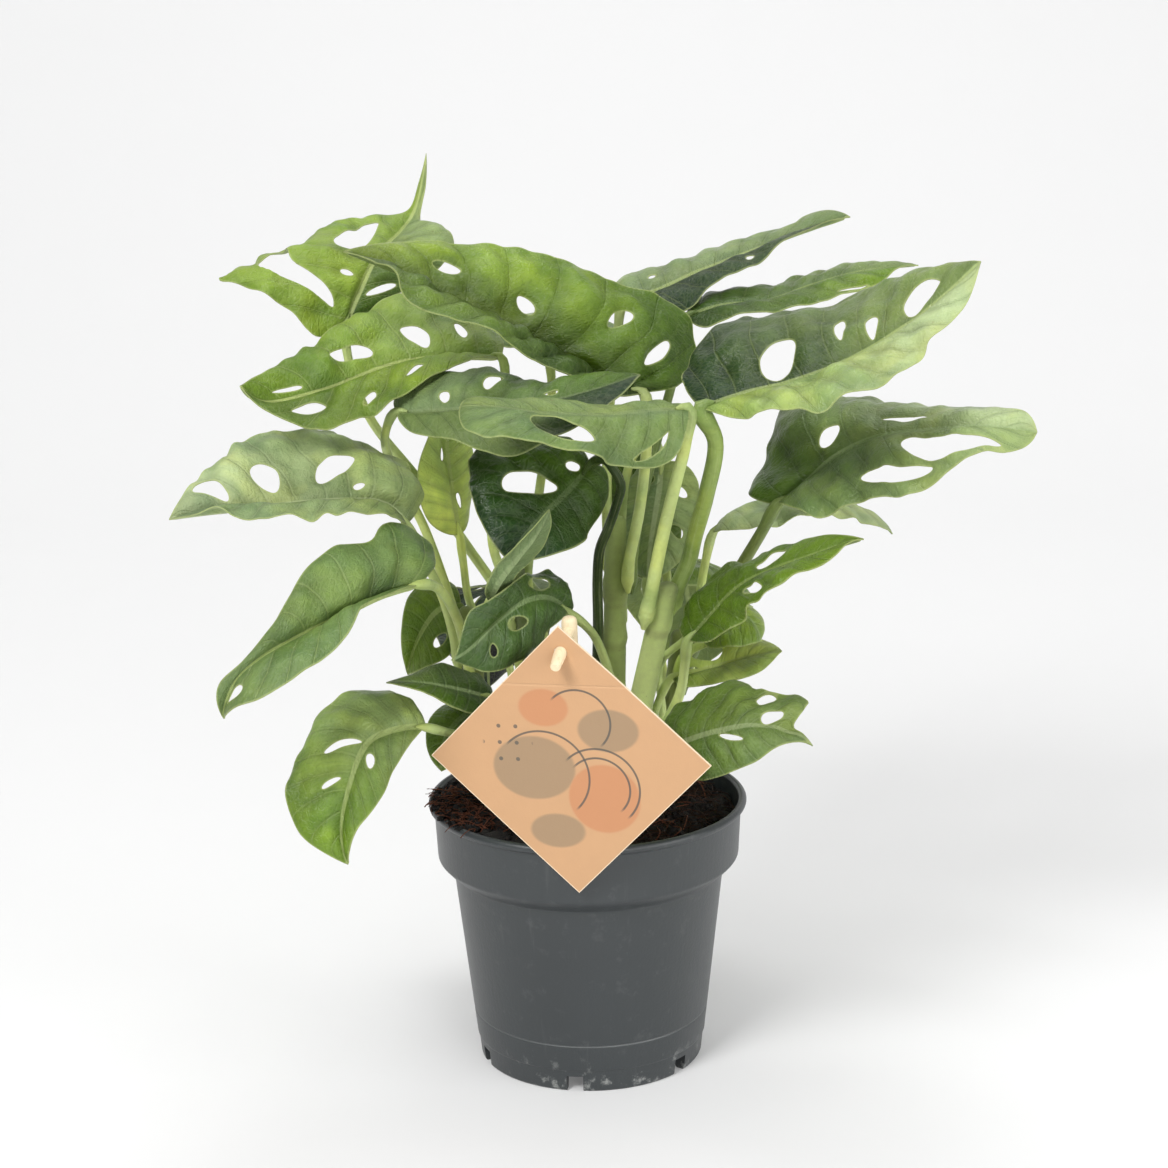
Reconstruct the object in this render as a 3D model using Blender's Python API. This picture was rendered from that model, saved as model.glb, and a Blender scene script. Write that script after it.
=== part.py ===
"""Monstera adansonii, a young potted plant with holed leaves.

The plant stands in a 12 cm nursery pot: six short vines grow from the soil, and each leaf is one
piece, its blade fused to its own stalk. A square paper label hangs as a diamond on a wooden peg.

Lengths below are in millimetres, +Z is up and the front of the pot looks along -Y. The origin is
the middle of the pot's underside, on the surface that the pot stands on. add_object turns
millimetres into metres.
"""
import math

import bpy
import numpy as np
from mathutils import Vector
from mathutils.geometry import delaunay_2d_cdt

MM = 0.001
GAP = 0.3

# Pot: a turned plastic shell with a deep collar under its rolled rim
POT_HEIGHT = 102.2
RIM_RADIUS = 60.0
LIP_WIDTH = 2.2
COLLAR_TOP_RADIUS = 57.8
COLLAR_FOOT_RADIUS = 56.8
COLLAR_FOOT_Z = 80.0
SHOULDER_RADIUS = 51.0
SHOULDER_Z = 74.5
FOOT_RADIUS = 42.3
FOOT_STEP_Z = 9.0
FOOT_STEP_RADIUS = 43.6
WALL = 1.3
FLOOR_UNDER_Z = 6.8
FLOOR_TOP_Z = 8.4
FOOT_RING_WIDTH = 4.0
CENTRE_PAD_RADIUS = 13.0
POT_SIDES = 40
NOTCH_COUNT = 6
NOTCH_WIDTH = 6.2
NOTCH_HEIGHT = 6.2
NOTCH_FIRST_ANGLE = -8.7
DRAIN_RADIUS = 3.0
DRAIN_RING_RADIUS = 27.0
DRAIN_SIDES = 10
PAD_SLOPE = 3.0
FOOT_RING_SLOPE = 1.5
FOOT_BEVEL = (0.6, 0.8)
COLLAR_LEDGE = (3.6, 2.4)
RIM_BEAD = ((0.4, 2.8), (0.0, 1.5), (0.7, 0.2))
BEAD_FOOT_DEPTH = 3.6
LIP_BEVEL = 1.0
INNER_LEDGE = (0.8, 0.6)
CUT_MARGIN = 3.0

# Soil: fills the pot, domed, higher at the left, with a blind hole for each vine and the stick
SOIL_TOP_Z = 98.0
SOIL_DOME = 3.5
SOIL_TILT = 3.6
SOIL_LUMP = 1.1
SOIL_LUMP_WAVES = ((0.31, 0.27), (0.23, 0.55))
SOIL_LUMP_START = 1.2
SMALL_LUMP_SHARE = 0.6
SOIL_SIDES = 30
SOIL_CLEARANCE = 0.5
SOIL_STEP_Z = 1.5
SOIL_RING_SHARES = (1.0, 0.86, 0.66, 0.42, 0.18)
VINE_DEPTH_Z = 72.0
VINE_STRAIGHT_Z = 107.0
VINE_BEND_LENGTH = 3.0
VINE_RING_SHARES = (0.08, 0.26, 0.45, 0.63, 0.82, 1.0)
VINE_TOP_SHARE = 0.6
VINE_TOP_HEIGHT = 2.0
SOCKET_TOP_Z = 120.0
VINE_SIDES = 8

# Label: a square of card on one corner, turned and leaning a little, hung on a peg
CARD_SIDE = 72.3
CARD_THICKNESS = 0.6
CARD_CENTRE = (-6.2, -64.8, 136.9)
CARD_TURN = 15.3
CARD_LEAN = 5.2
CARD_ROLL = 1.8
STICK_FOOT = (-4.0, -46.5, 83.0)
STICK_TOP = (-5.4, -58.0, 187.6)
STICK_RADII = (2.8, 2.8, 2.1)
PEG_START = (-5.3, -57.6, 183.2)
PEG_END = (-10.5, -76.0, 174.3)
PEG_RADII = (2.3, 2.3, 1.7)
STICK_SIDES = 10
PEG_KNEE_SHARE = 0.72
STICK_KNEE_SHARE = 0.985
STICK_SOCKET_SHARES = (-0.003, 0.4)

# Leaves: thin waved blades with holes between the side veins
BLADE_THICKNESS = 0.8
BLADE_ARCH = 0.10
BLADE_WAVE = 1.0
BLADE_WAVE_RATE = 9.5
BLADE_WAVE_START = {"left": 0.6, "right": 2.4}
NARROW_BLADE = 12.0
NEAR_SHARE = 0.01
STALK_SIDES = 6
STALK_STEP = 13.0
STALK_REACH = 5.0
STALK_TIP_SHARE = 0.75
STALK_LEAST_RINGS = 5
SHEATH_LENGTH = 10.0
MARGIN_STATIONS = (0.04, 0.1, 0.17, 0.25, 0.34, 0.44, 0.54, 0.64, 0.73, 0.81, 0.88, 0.95)
RIB_STATIONS = (0.1, 0.24, 0.38, 0.52, 0.66, 0.82)
FIELD_STATIONS = (0.16, 0.34, 0.5, 0.66, 0.82)
FIELD_OUT = 0.5
FIELD_CLEAR_ALONG = 0.03
FIELD_CLEAR_OUT = 0.12
HOLE_POINTS = 7
HOLE_EGG = 0.2
NECK_SHARE = 0.86
DENSE = 97
CURVE_FINENESS = 12

# Each vine: the points of its axis above the soil, and its radius at the foot and at the top
VINES = {
    "vine_left": dict(axis=[(-36, -8, 107), (-40, -10, 140), (-43, -12, 178)], radius=(4.0, 3.2)),
    "vine_centre": dict(axis=[(9, 6, 107), (11, 6, 156), (12, 6, 208)], radius=(4.6, 4.0)),
    "vine_right": dict(axis=[(12, -16, 107), (20, -19, 143), (30, -25, 190)], radius=(4.8, 4.2)),
    "vine_far_right": dict(axis=[(30, 18, 107), (33, 20, 132), (36, 20, 160)], radius=(3.8, 3.2)),
    "vine_back_left": dict(axis=[(-16, 24, 107), (-20, 24, 140), (-26, 20, 190)], radius=(3.8, 3.0)),
    "vine_front_left": dict(axis=[(-22, -27, 107), (-22, -27, 130), (-23, -28, 154)], radius=(3.4, 2.8)),
}

# Leaf colours: the four greens of the plant
GREENS = {
    "leaf_green": (0.085, 0.185, 0.035),
    "leaf_bright": (0.165, 0.290, 0.040),
    "leaf_grey": (0.140, 0.215, 0.095),
    "leaf_blue": (0.060, 0.140, 0.060),
}

# Each leaf: the midrib from base to tip; the left and right margins between them, as seen on the
# upper face with the tip ahead; the stalk from the base down; the vine and height where it joins;
# the stalk's radius at the blade and at the vine. seat is the compass angle of the stalk's foot on
# its vine, where it isn't simply the stalk's own side. neck counts the points, from the tip back,
# at which the drip tip begins. A hole is its side, its place along the midrib and out to the
# margin, its half length along and across, and how far its outer end is ahead, all as shares of
# the half blade.
LEAVES = {
    "leaf_top_left": dict(
        rib=[
            (-87, 28, 278), (-82, 36, 289), (-76, 50, 300), (-68, 76, 306), (-64, 88, 311),
            (-61, 95, 321), (-59, 100, 333),
        ],
        left=[
            (-97, 22, 274), (-107, 20, 285), (-121, 22, 293), (-133, 26, 297), (-126, 38, 299),
            (-117, 50, 303), (-104, 62, 305), (-90, 76, 308), (-76, 84, 310), (-66, 90, 312),
            (-62, 96, 322),
        ],
        right=[
            (-78, 34, 281), (-67, 42, 287), (-52, 54, 295), (-47, 66, 302), (-53, 76, 308),
            (-61, 86, 308), (-59, 95, 322),
        ],
        stalk=[(-86, 27, 264), (-79, 26, 243), (-62, 31, 218), (-44, 29, 192)],
        vine="vine_back_left", joint=168, seat=165, neck=-3, stalk_radius=(1.6, 2.0), green="leaf_bright",
        holes=[
            ("left", 0.26, 0.57, 0.087, 0.20, 0.12),
            ("left", 0.55, 0.32, 0.119, 0.18, 0.07),
            ("left", 0.26, 0.17, 0.018, 0.05, 0.01),
            ("right", 0.22, 0.53, 0.033, 0.26, 0.05),
        ],
    ),
    "leaf_crown": dict(
        rib=[
            (23, 8, 254), (7, 5, 261), (-8, 2, 271), (-25, -3, 281), (-42, -8, 291), (-63, -12, 302),
            (-83, -14, 311),
        ],
        left=[
            (8, -8, 256), (-7, -20, 267), (-21, -30, 278), (-35, -36, 287), (-48, -38, 290),
            (-58, -38, 294), (-63, -35, 299), (-65, -29, 304), (-73, -20, 308),
        ],
        right=[(41, 22, 259), (41, 30, 278), (11, 26, 293), (-25, 18, 305), (-57, 2, 312)],
        stalk=[(24, 4, 240), (21, 3, 212)],
        vine="vine_centre", joint=190, seat=-45, stalk_radius=(1.9, 2.2), green="leaf_green",
        holes=[
            ("right", 0.73, 0.40, 0.037, 0.12, 0.01),
            ("right", 0.49, 0.28, 0.024, 0.09, 0.03),
            ("right", 0.31, 0.55, 0.022, 0.13, 0.01),
            ("right", 0.18, 0.58, 0.020, 0.15, 0.02),
        ],
    ),
    "leaf_back_high": dict(
        rib=[(17, 50, 282), (28, 54, 284), (47, 62, 291), (64, 70, 296), (85, 80, 302), (106, 88, 307)],
        left=[
            (13, 62, 285), (22, 72, 289), (40, 80, 293), (63, 88, 298), (84, 92, 303), (88, 93, 306),
            (98, 92, 309),
        ],
        right=[
            (28, 38, 277), (42, 42, 281), (48, 46, 287), (55, 50, 290), (63, 54, 292), (69, 58, 293),
            (76, 64, 299), (82, 70, 302), (89, 76, 304), (96, 83, 306),
        ],
        stalk=[(14, 44, 268), (10, 30, 236), (9, 19, 208)],
        vine="vine_centre", joint=193, seat=115, stalk_radius=(1.7, 2.0), green="leaf_green",
        holes=[
            ("left", 0.20, 0.43, 0.016, 0.07, 0.01),
            ("right", 0.39, 0.17, 0.024, 0.05, -0.01),
            ("right", 0.54, 0.54, 0.016, 0.15, -0.00),
        ],
    ),
    "leaf_back_right": dict(
        rib=[
            (40, 42, 276), (53, 44, 280), (71, 47, 281), (88, 52, 286), (107, 58, 290), (130, 66, 291),
        ],
        left=[
            (44, 54, 280), (52, 64, 283), (70, 70, 284), (91, 74, 287), (107, 76, 289), (116, 74, 289),
            (124, 72, 290),
        ],
        right=[
            (47, 32, 274), (57, 30, 279), (72, 31, 280), (90, 36, 282), (105, 42, 285), (114, 50, 287),
            (121, 58, 291),
        ],
        stalk=[(37, 38, 262), (29, 24, 236), (21, 12, 208)],
        vine="vine_centre", joint=188, seat=15, stalk_radius=(1.7, 2.0), green="leaf_green",
        holes=[
            ("right", 0.66, 0.85, 0.055, 0.05, 0.03),
        ],
    ),
    "leaf_right_big": dict(
        rib=[
            (42, -38, 257), (56, -39, 262), (75, -41, 267), (92, -44, 274), (107, -46, 283),
            (121, -46, 293), (138, -44, 308),
        ],
        left=[
            (37, -26, 261), (36, -18, 266), (41, -8, 274), (49, -2, 280), (68, 2, 284), (92, 0, 288),
            (109, -10, 296), (125, -26, 303), (133, -38, 307),
        ],
        right=[
            (56, -58, 258), (65, -66, 263), (73, -70, 263), (80, -74, 262), (86, -76, 266),
            (93, -76, 269), (100, -75, 270), (107, -72, 275), (115, -68, 279), (118, -64, 284),
            (124, -59, 288), (131, -54, 294), (135, -49, 300),
        ],
        stalk=[(47, -36, 245), (44, -30, 224), (40, -23, 207), (38, -19, 197)],
        vine="vine_right", joint=186, seat=55, stalk_radius=(2.9, 3.0), green="leaf_green",
        holes=[
            ("left", 0.32, 0.24, 0.058, 0.19, 0.05),
            ("left", 0.53, 0.31, 0.016, 0.13, 0.02),
            ("left", 0.61, 0.19, 0.017, 0.13, 0.02),
            ("left", 0.78, 0.25, 0.058, 0.20, 0.04),
        ],
    ),
    "leaf_right_low": dict(
        rib=[
            (71, -8, 215), (81, -9, 223), (91, -12, 233), (105, -20, 242), (123, -32, 247),
            (141, -43, 250), (158, -50, 249),
        ],
        left=[
            (64, -2, 215), (61, 4, 217), (66, 14, 227), (70, 20, 239), (75, 26, 245), (89, 24, 246),
            (104, 16, 250), (118, 2, 250), (133, -16, 250), (147, -34, 254), (155, -46, 255),
        ],
        right=[
            (76, -22, 217), (84, -30, 215), (94, -38, 222), (104, -46, 226), (112, -52, 227),
            (121, -57, 232), (129, -59, 240), (139, -58, 245), (146, -56, 244), (154, -53, 245),
        ],
        stalk=[(65, -4, 203), (55, 5, 183), (46, 12, 165)],
        vine="vine_far_right", joint=146, seat=-55, stalk_radius=(2.1, 2.5), green="leaf_blue",
        holes=[
            ("left", 0.57, 0.23, 0.069, 0.05, -0.03),
            ("right", 0.69, 0.51, 0.108, 0.35, 0.13),
            ("right", 0.50, 0.70, 0.115, 0.13, 0.05),
            ("left", 0.31, 0.22, 0.045, 0.08, 0.02),
        ],
    ),
    "leaf_right_behind": dict(
        rib=[(49, 24, 197), (69, 30, 207), (104, 34, 203), (118, 34, 193)],
        left=[(58, 44, 197), (80, 58, 198), (105, 54, 196)],
        right=[(58, 6, 203), (76, 4, 206), (103, 16, 203)],
        stalk=[(46, 23, 186), (43, 24, 168)],
        vine="vine_far_right", joint=148, seat=20, stalk_radius=(1.5, 1.9), green="leaf_grey",
        holes=[
            ("left", 0.30, 0.50, 0.035, 0.18, 0.03),
            ("left", 0.55, 0.50, 0.035, 0.18, 0.03),
            ("right", 0.45, 0.50, 0.035, 0.16, 0.03),
        ],
    ),
    "leaf_right_mid": dict(
        rib=[
            (37, -36, 172), (45, -39, 182), (54, -43, 193), (64, -47, 200), (76, -53, 206),
            (87, -58, 211), (97, -62, 215),
        ],
        left=[
            (35, -29, 173), (35, -25, 178), (37, -21, 182), (41, -19, 187), (47, -20, 192),
            (54, -24, 198), (61, -28, 199), (67, -34, 205), (76, -41, 208), (84, -50, 213),
            (91, -57, 215),
        ],
        right=[
            (42, -46, 174), (48, -54, 180), (54, -60, 186), (57, -64, 193), (61, -66, 196),
            (68, -68, 200), (75, -69, 205), (82, -68, 208), (87, -66, 211), (91, -64, 214),
        ],
        stalk=[(36, -31, 162), (34, -25, 148)],
        vine="vine_right", joint=120, stalk_radius=(1.7, 2.0), green="leaf_green",
        holes=[
            ("left", 0.56, 0.36, 0.069, 0.20, 0.04),
            ("right", 0.66, 0.20, 0.080, 0.09, 0.06),
            ("right", 0.46, 0.52, 0.042, 0.23, 0.04),
        ],
    ),
    "leaf_right_dark": dict(
        rib=[(42, -8, 168), (52, -10, 174), (60, -14, 174), (64, -18, 166)],
        left=[(44, 2, 174), (57, 2, 176), (65, -6, 171)],
        right=[(45, -20, 165), (53, -26, 166), (61, -24, 167)],
        stalk=[(36, -3, 162), (28, 8, 150)],
        vine="vine_far_right", joint=128, seat=-130, stalk_radius=(1.3, 1.6), green="leaf_blue",
    ),
    "leaf_right_bright": dict(
        rib=[(32, -5, 149), (41, -7, 152), (50, -10, 155), (61, -13, 159), (72, -16, 162)],
        left=[
            (35, 2, 155), (39, 5, 159), (45, 6, 162), (53, 6, 164), (60, 3, 163), (66, -4, 162),
            (70, -10, 162),
        ],
        right=[
            (35, -12, 148), (42, -18, 150), (50, -23, 152), (57, -26, 154), (62, -26, 156),
            (67, -22, 159),
        ],
        stalk=[(27, -6, 140)],
        vine="vine_right", joint=118, seat=45, stalk_radius=(1.4, 1.7), green="leaf_bright",
        holes=[
            ("left", 0.37, 0.38, 0.112, 0.23, -0.04),
            ("left", 0.20, 0.15, 0.025, 0.07, -0.04),
        ],
    ),
    "leaf_right_bottom": dict(
        rib=[
            (24, -50, 135), (34, -55, 140), (45, -62, 146), (56, -68, 150), (65, -73, 151),
            (70, -77, 150), (74, -80, 150), (78, -83, 147),
        ],
        left=[
            (28, -42, 141), (30, -36, 146), (38, -34, 150), (45, -34, 154), (52, -36, 157),
            (56, -40, 158), (59, -46, 157), (65, -54, 158), (72, -60, 157), (78, -66, 157),
            (74, -70, 153), (72, -75, 151), (75, -79, 150),
        ],
        right=[
            (29, -56, 130), (36, -62, 128), (46, -68, 131), (53, -72, 135), (59, -76, 139),
            (65, -79, 145), (69, -80, 147), (74, -82, 148),
        ],
        stalk=[(19, -42, 134), (15, -32, 128)],
        vine="vine_right", joint=114, seat=-75, neck=-3, stalk_radius=(1.5, 1.8), green="leaf_grey",
        holes=[
            ("left", 0.60, 0.74, 0.038, 0.18, 0.00),
            ("left", 0.70, 0.24, 0.051, 0.19, 0.00),
            ("right", 0.51, 0.21, 0.038, 0.14, 0.07),
        ],
    ),
    "leaf_left_bottom": dict(
        rib=[
            (-57, -52, 146), (-67, -60, 148), (-77, -66, 145), (-83, -73, 132), (-86, -77, 117),
            (-84, -80, 105),
        ],
        left=[
            (-62, -60, 143), (-66, -67, 138), (-70, -73, 131), (-75, -78, 124), (-80, -81, 118),
            (-83, -82, 111),
        ],
        right=[
            (-60, -46, 151), (-66, -42, 157), (-76, -44, 160), (-86, -49, 158), (-94, -54, 151),
            (-98, -59, 144), (-104, -65, 135), (-106, -70, 128), (-104, -74, 120), (-99, -78, 114),
            (-91, -80, 109),
        ],
        stalk=[(-48, -44, 141), (-39, -36, 136), (-31, -28, 126)],
        vine="vine_front_left", joint=116, seat=170, stalk_radius=(1.5, 1.8), green="leaf_green",
        holes=[
            ("right", 0.45, 0.32, 0.020, 0.24, 0.07),
            ("right", 0.61, 0.28, 0.018, 0.12, 0.03),
            ("left", 0.42, 0.30, 0.033, 0.15, 0.01),
        ],
    ),
    "leaf_left_droop": dict(
        rib=[
            (-58, -50, 198), (-69, -58, 197), (-82, -72, 194), (-97, -86, 190), (-110, -96, 185),
            (-118, -100, 178), (-122, -102, 166),
        ],
        left=[
            (-62, -60, 199), (-68, -70, 199), (-75, -80, 199), (-78, -88, 197), (-80, -94, 193),
            (-87, -101, 187), (-95, -106, 182), (-102, -110, 178), (-109, -112, 175),
            (-117, -110, 172),
        ],
        right=[
            (-52, -40, 204), (-53, -36, 208), (-58, -36, 214), (-63, -40, 218), (-69, -46, 219),
            (-74, -52, 215), (-84, -58, 215), (-95, -70, 210), (-100, -80, 204), (-106, -90, 195),
            (-115, -97, 185), (-123, -100, 178), (-124, -102, 173),
        ],
        stalk=[(-52, -40, 194), (-46, -29, 180)],
        vine="vine_left", joint=154, seat=-100, stalk_radius=(1.7, 2.0), green="leaf_green",
        holes=[
            ("left", 0.88, 0.38, 0.042, 0.23, -0.01),
        ],
    ),
    "leaf_left_arch": dict(
        rib=[(-63, -30, 215), (-71, -34, 224), (-83, -42, 227), (-111, -54, 228), (-142, -66, 227)],
        left=[
            (-66, -44, 220), (-75, -56, 227), (-88, -66, 231), (-99, -70, 230), (-106, -73, 231),
            (-116, -75, 229), (-125, -74, 231), (-134, -71, 229),
        ],
        right=[
            (-58, -22, 221), (-58, -16, 227), (-64, -10, 234), (-75, -6, 240), (-89, -8, 244),
            (-104, -14, 245), (-118, -24, 246), (-129, -40, 242), (-136, -54, 236),
        ],
        stalk=[(-57, -24, 200), (-51, -17, 183)],
        vine="vine_left", joint=164, seat=-160, stalk_radius=(1.6, 1.9), green="leaf_grey",
        holes=[
            ("right", 0.82, 0.48, 0.037, 0.35, 0.05),
            ("right", 0.61, 0.34, 0.047, 0.21, 0.02),
            ("right", 0.39, 0.39, 0.051, 0.18, -0.02),
            ("right", 0.28, 0.17, 0.019, 0.05, -0.00),
        ],
    ),
    "leaf_left_bright": dict(
        rib=[(-29, 14, 267), (-64, 2, 268), (-93, -14, 261), (-113, -28, 260), (-119, -34, 267)],
        left=[(-50, -12, 267), (-75, -30, 256), (-94, -36, 251), (-110, -38, 258)],
        right=[(-33, 30, 276), (-66, 30, 287), (-90, 8, 278), (-108, -12, 271)],
        stalk=[(-28, 15, 251), (-31, 13, 224), (-34, 13, 198)],
        vine="vine_back_left", joint=176, seat=-135, stalk_radius=(1.5, 1.9), green="leaf_bright",
        holes=[
            ("right", 0.55, 0.34, 0.055, 0.16, 0.07),
            ("right", 0.32, 0.33, 0.036, 0.18, 0.04),
            ("right", 0.19, 0.45, 0.020, 0.14, 0.02),
            ("right", 0.79, 0.20, 0.041, 0.07, 0.04),
            ("left", 0.73, 0.42, 0.056, 0.14, 0.01),
            ("left", 0.53, 0.69, 0.020, 0.12, 0.02),
            ("left", 0.35, 0.57, 0.032, 0.07, 0.01),
        ],
    ),
    "leaf_centre_left": dict(
        rib=[(-66, -20, 254), (-41, -32, 257), (-11, -40, 261), (21, -30, 268)],
        left=[(-64, -8, 260), (-38, -6, 267), (-13, -18, 263), (11, -24, 267)],
        right=[(-61, -30, 249), (-46, -46, 250), (-23, -54, 244), (7, -50, 260)],
        stalk=[(-71, -9, 243), (-70, 4, 230), (-58, 4, 204)],
        vine="vine_left", joint=168, seat=135, stalk_radius=(1.5, 1.9), green="leaf_grey",
        holes=[
            ("left", 0.24, 0.23, 0.020, 0.09, 0.01),
            ("left", 0.65, 0.18, 0.025, 0.05, 0.00),
            ("left", 0.44, 0.50, 0.030, 0.15, 0.03),
            ("right", 0.50, 0.45, 0.030, 0.12, 0.03),
        ],
    ),
    "leaf_centre_front": dict(
        rib=[
            (37, -54, 260), (24, -60, 261), (6, -66, 261), (-14, -71, 263), (-31, -74, 266),
            (-41, -74, 266),
        ],
        left=[
            (36, -64, 255), (31, -72, 246), (21, -78, 245), (13, -82, 248), (5, -86, 252),
            (-7, -88, 254), (-20, -91, 257), (-32, -90, 258), (-39, -84, 260),
        ],
        right=[
            (33, -44, 260), (20, -47, 261), (7, -51, 261), (-12, -56, 264), (-28, -60, 265),
            (-36, -64, 268),
        ],
        stalk=[(36, -50, 247), (33, -44, 233), (30, -38, 219), (27, -33, 204)],
        vine="vine_right", joint=184, seat=-140, stalk_radius=(2.0, 2.6), green="leaf_grey",
        holes=[
            ("left", 0.59, 0.47, 0.100, 0.34, -0.05),
            ("left", 0.25, 0.72, 0.034, 0.16, 0.07),
        ],
    ),
    "leaf_centre_dark": dict(
        rib=[(3, -8, 231), (-4, -15, 224), (-13, -23, 217), (-21, -30, 210), (-27, -34, 202)],
        left=[
            (7, -4, 229), (9, -5, 223), (8, -8, 216), (4, -15, 209), (-3, -28, 205), (-13, -34, 203),
            (-22, -36, 202),
        ],
        right=[
            (-4, 2, 238), (-17, 2, 240), (-30, -2, 240), (-37, -8, 238), (-41, -14, 235),
            (-41, -20, 228), (-39, -26, 221), (-35, -31, 213), (-31, -34, 207),
        ],
        stalk=[
            (8, -13, 234), (11, -16, 231), (14, -15, 225), (12, -12, 216), (9, -9, 207), (6, -7, 199),
            (5, -4, 187), (5, -1, 170),
        ],
        vine="vine_centre", joint=150, seat=-160, stalk_radius=(1.6, 2.1), green="leaf_blue",
        holes=[
            ("right", 0.46, 0.33, 0.097, 0.23, 0.10),
            ("right", 0.16, 0.28, 0.045, 0.12, 0.02),
        ],
    ),
    "leaf_centre_grey": dict(
        rib=[(30, 36, 222), (29, 32, 212), (27, 27, 202), (25, 23, 191), (24, 19, 181)],
        left=[(40, 36, 220), (45, 34, 211), (46, 31, 202), (43, 27, 193), (37, 23, 187), (30, 20, 182)],
        right=[
            (23, 42, 222), (17, 42, 215), (13, 40, 205), (13, 36, 196), (15, 31, 187), (19, 25, 182),
        ],
        stalk=[(28, 38, 229), (22, 30, 229), (17, 22, 222), (14, 17, 194)],
        vine="vine_centre", joint=172, seat=65, stalk_radius=(1.5, 1.8), green="leaf_grey",
        holes=[
            ("left", 0.30, 0.50, 0.040, 0.18, 0.03),
            ("left", 0.58, 0.48, 0.035, 0.16, 0.03),
            ("right", 0.22, 0.40, 0.050, 0.20, 0.03),
        ],
    ),
    "leaf_left_upright": dict(
        rib=[(-46, 14, 200), (-48, 16, 213), (-50, 22, 227), (-51, 36, 245)],
        left=[(-57, 6, 207), (-60, 8, 225), (-56, 22, 240)],
        right=[(-42, 22, 206), (-41, 28, 224), (-44, 34, 238)],
        stalk=[(-45, 13, 190), (-42, 12, 172)],
        vine="vine_back_left", joint=150, stalk_radius=(1.4, 1.7), green="leaf_bright",
        holes=[
            ("left", 0.60, 0.23, 0.050, 0.09, 0.00),
            ("right", 0.27, 0.26, 0.050, 0.11, -0.02),
        ],
    ),
    "leaf_small_curled": dict(
        rib=[(-34, -40, 189), (-30, -45, 197), (-23, -49, 207), (-17, -51, 215), (-12, -52, 225)],
        left=[
            (-30, -37, 188), (-26, -39, 193), (-24, -40, 199), (-19, -40, 204), (-14, -43, 209),
            (-11, -47, 217),
        ],
        right=[
            (-35, -46, 195), (-33, -47, 200), (-30, -49, 205), (-25, -52, 210), (-20, -54, 216),
            (-15, -55, 222),
        ],
        stalk=[(-34, -34, 184), (-32, -27, 176), (-29, -24, 167)],
        vine="vine_front_left", joint=146, seat=130, stalk_radius=(1.2, 1.5), green="leaf_grey",
    ),
    "leaf_front_teal": dict(
        rib=[
            (-6, -24, 180), (-13, -33, 188), (-21, -41, 189), (-32, -50, 183), (-40, -55, 176),
            (-47, -57, 172),
        ],
        left=[
            (-7, -29, 180), (-13, -37, 177), (-16, -43, 173), (-20, -48, 171), (-27, -52, 168),
            (-35, -54, 167), (-41, -54, 169),
        ],
        right=[
            (-4, -16, 182), (-10, -14, 192), (-16, -22, 196), (-21, -34, 197), (-28, -45, 195),
            (-34, -51, 192), (-40, -53, 189), (-43, -55, 182), (-45, -56, 175),
        ],
        stalk=[(0, -20, 174), (5, -11, 164)],
        vine="vine_centre", joint=136, seat=-80, stalk_radius=(1.5, 1.9), green="leaf_blue",
        holes=[
            ("left", 0.53, 0.28, 0.056, 0.14, -0.02),
            ("right", 0.33, 0.42, 0.075, 0.24, 0.03),
            ("left", 0.72, 0.50, 0.022, 0.16, 0.00),
        ],
    ),
    "leaf_left_low": dict(
        rib=[(-34, -34, 151), (-46, -42, 157), (-58, -50, 162), (-70, -58, 165)],
        left=[(-36, -44, 148), (-48, -54, 155), (-60, -60, 162)],
        right=[(-37, -22, 157), (-50, -30, 163), (-62, -46, 164)],
        stalk=[(-31, -32, 140)],
        vine="vine_front_left", joint=126, seat=-105, stalk_radius=(1.3, 1.6), green="leaf_blue",
    ),
    "leaf_left_inner": dict(
        rib=[(-46, 8, 174), (-54, 5, 174), (-61, 0, 166), (-66, -6, 152)],
        left=[(-46, 2, 165), (-52, -6, 158), (-60, -10, 155)],
        right=[(-51, 16, 183), (-63, 12, 181), (-68, 0, 168)],
        stalk=[(-43, 4, 162)],
        vine="vine_left", joint=142, seat=60, stalk_radius=(1.3, 1.6), green="leaf_green",
        holes=[
            ("left", 0.47, 0.57, 0.089, 0.13, -0.02),
        ],
    ),
    "leaf_left_under": dict(
        rib=[(-40, -19, 142), (-47, -26, 140), (-52, -31, 133), (-53, -33, 123)],
        left=[(-39, -28, 136), (-45, -34, 129)],
        right=[(-48, -14, 144), (-57, -24, 140), (-58, -31, 131)],
        stalk=[(-38, -18, 132)],
        vine="vine_left", joint=124, seat=-90, stalk_radius=(1.2, 1.5), green="leaf_blue",
    ),
    "leaf_behind_left": dict(
        rib=[(-18, 50, 168), (-30, 72, 172), (-38, 96, 148), (-40, 108, 112)],
        left=[(-8, 62, 168), (-8, 90, 152), (-24, 108, 128)],
        right=[(-36, 52, 168), (-58, 72, 158), (-58, 96, 132)],
        stalk=[(-16, 40, 156)],
        vine="vine_back_left", joint=124, seat=85, stalk_radius=(1.5, 1.9), green="leaf_green",
        holes=[
            ("left", 0.26, 0.50, 0.035, 0.19, 0.04),
            ("left", 0.47, 0.48, 0.035, 0.20, 0.04),
            ("left", 0.67, 0.46, 0.030, 0.17, 0.04),
            ("right", 0.28, 0.50, 0.035, 0.19, 0.04),
            ("right", 0.50, 0.48, 0.035, 0.20, 0.04),
            ("right", 0.70, 0.46, 0.030, 0.17, 0.04),
        ],
    ),
    "leaf_behind_right": dict(
        rib=[(24, 50, 172), (34, 74, 176), (42, 98, 154), (44, 112, 116)],
        left=[(12, 62, 172), (14, 90, 156), (28, 112, 130)],
        right=[(40, 48, 172), (62, 68, 164), (64, 98, 138)],
        stalk=[(26, 42, 160)],
        vine="vine_far_right", joint=132, seat=110, stalk_radius=(1.5, 1.9), green="leaf_green",
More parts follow.
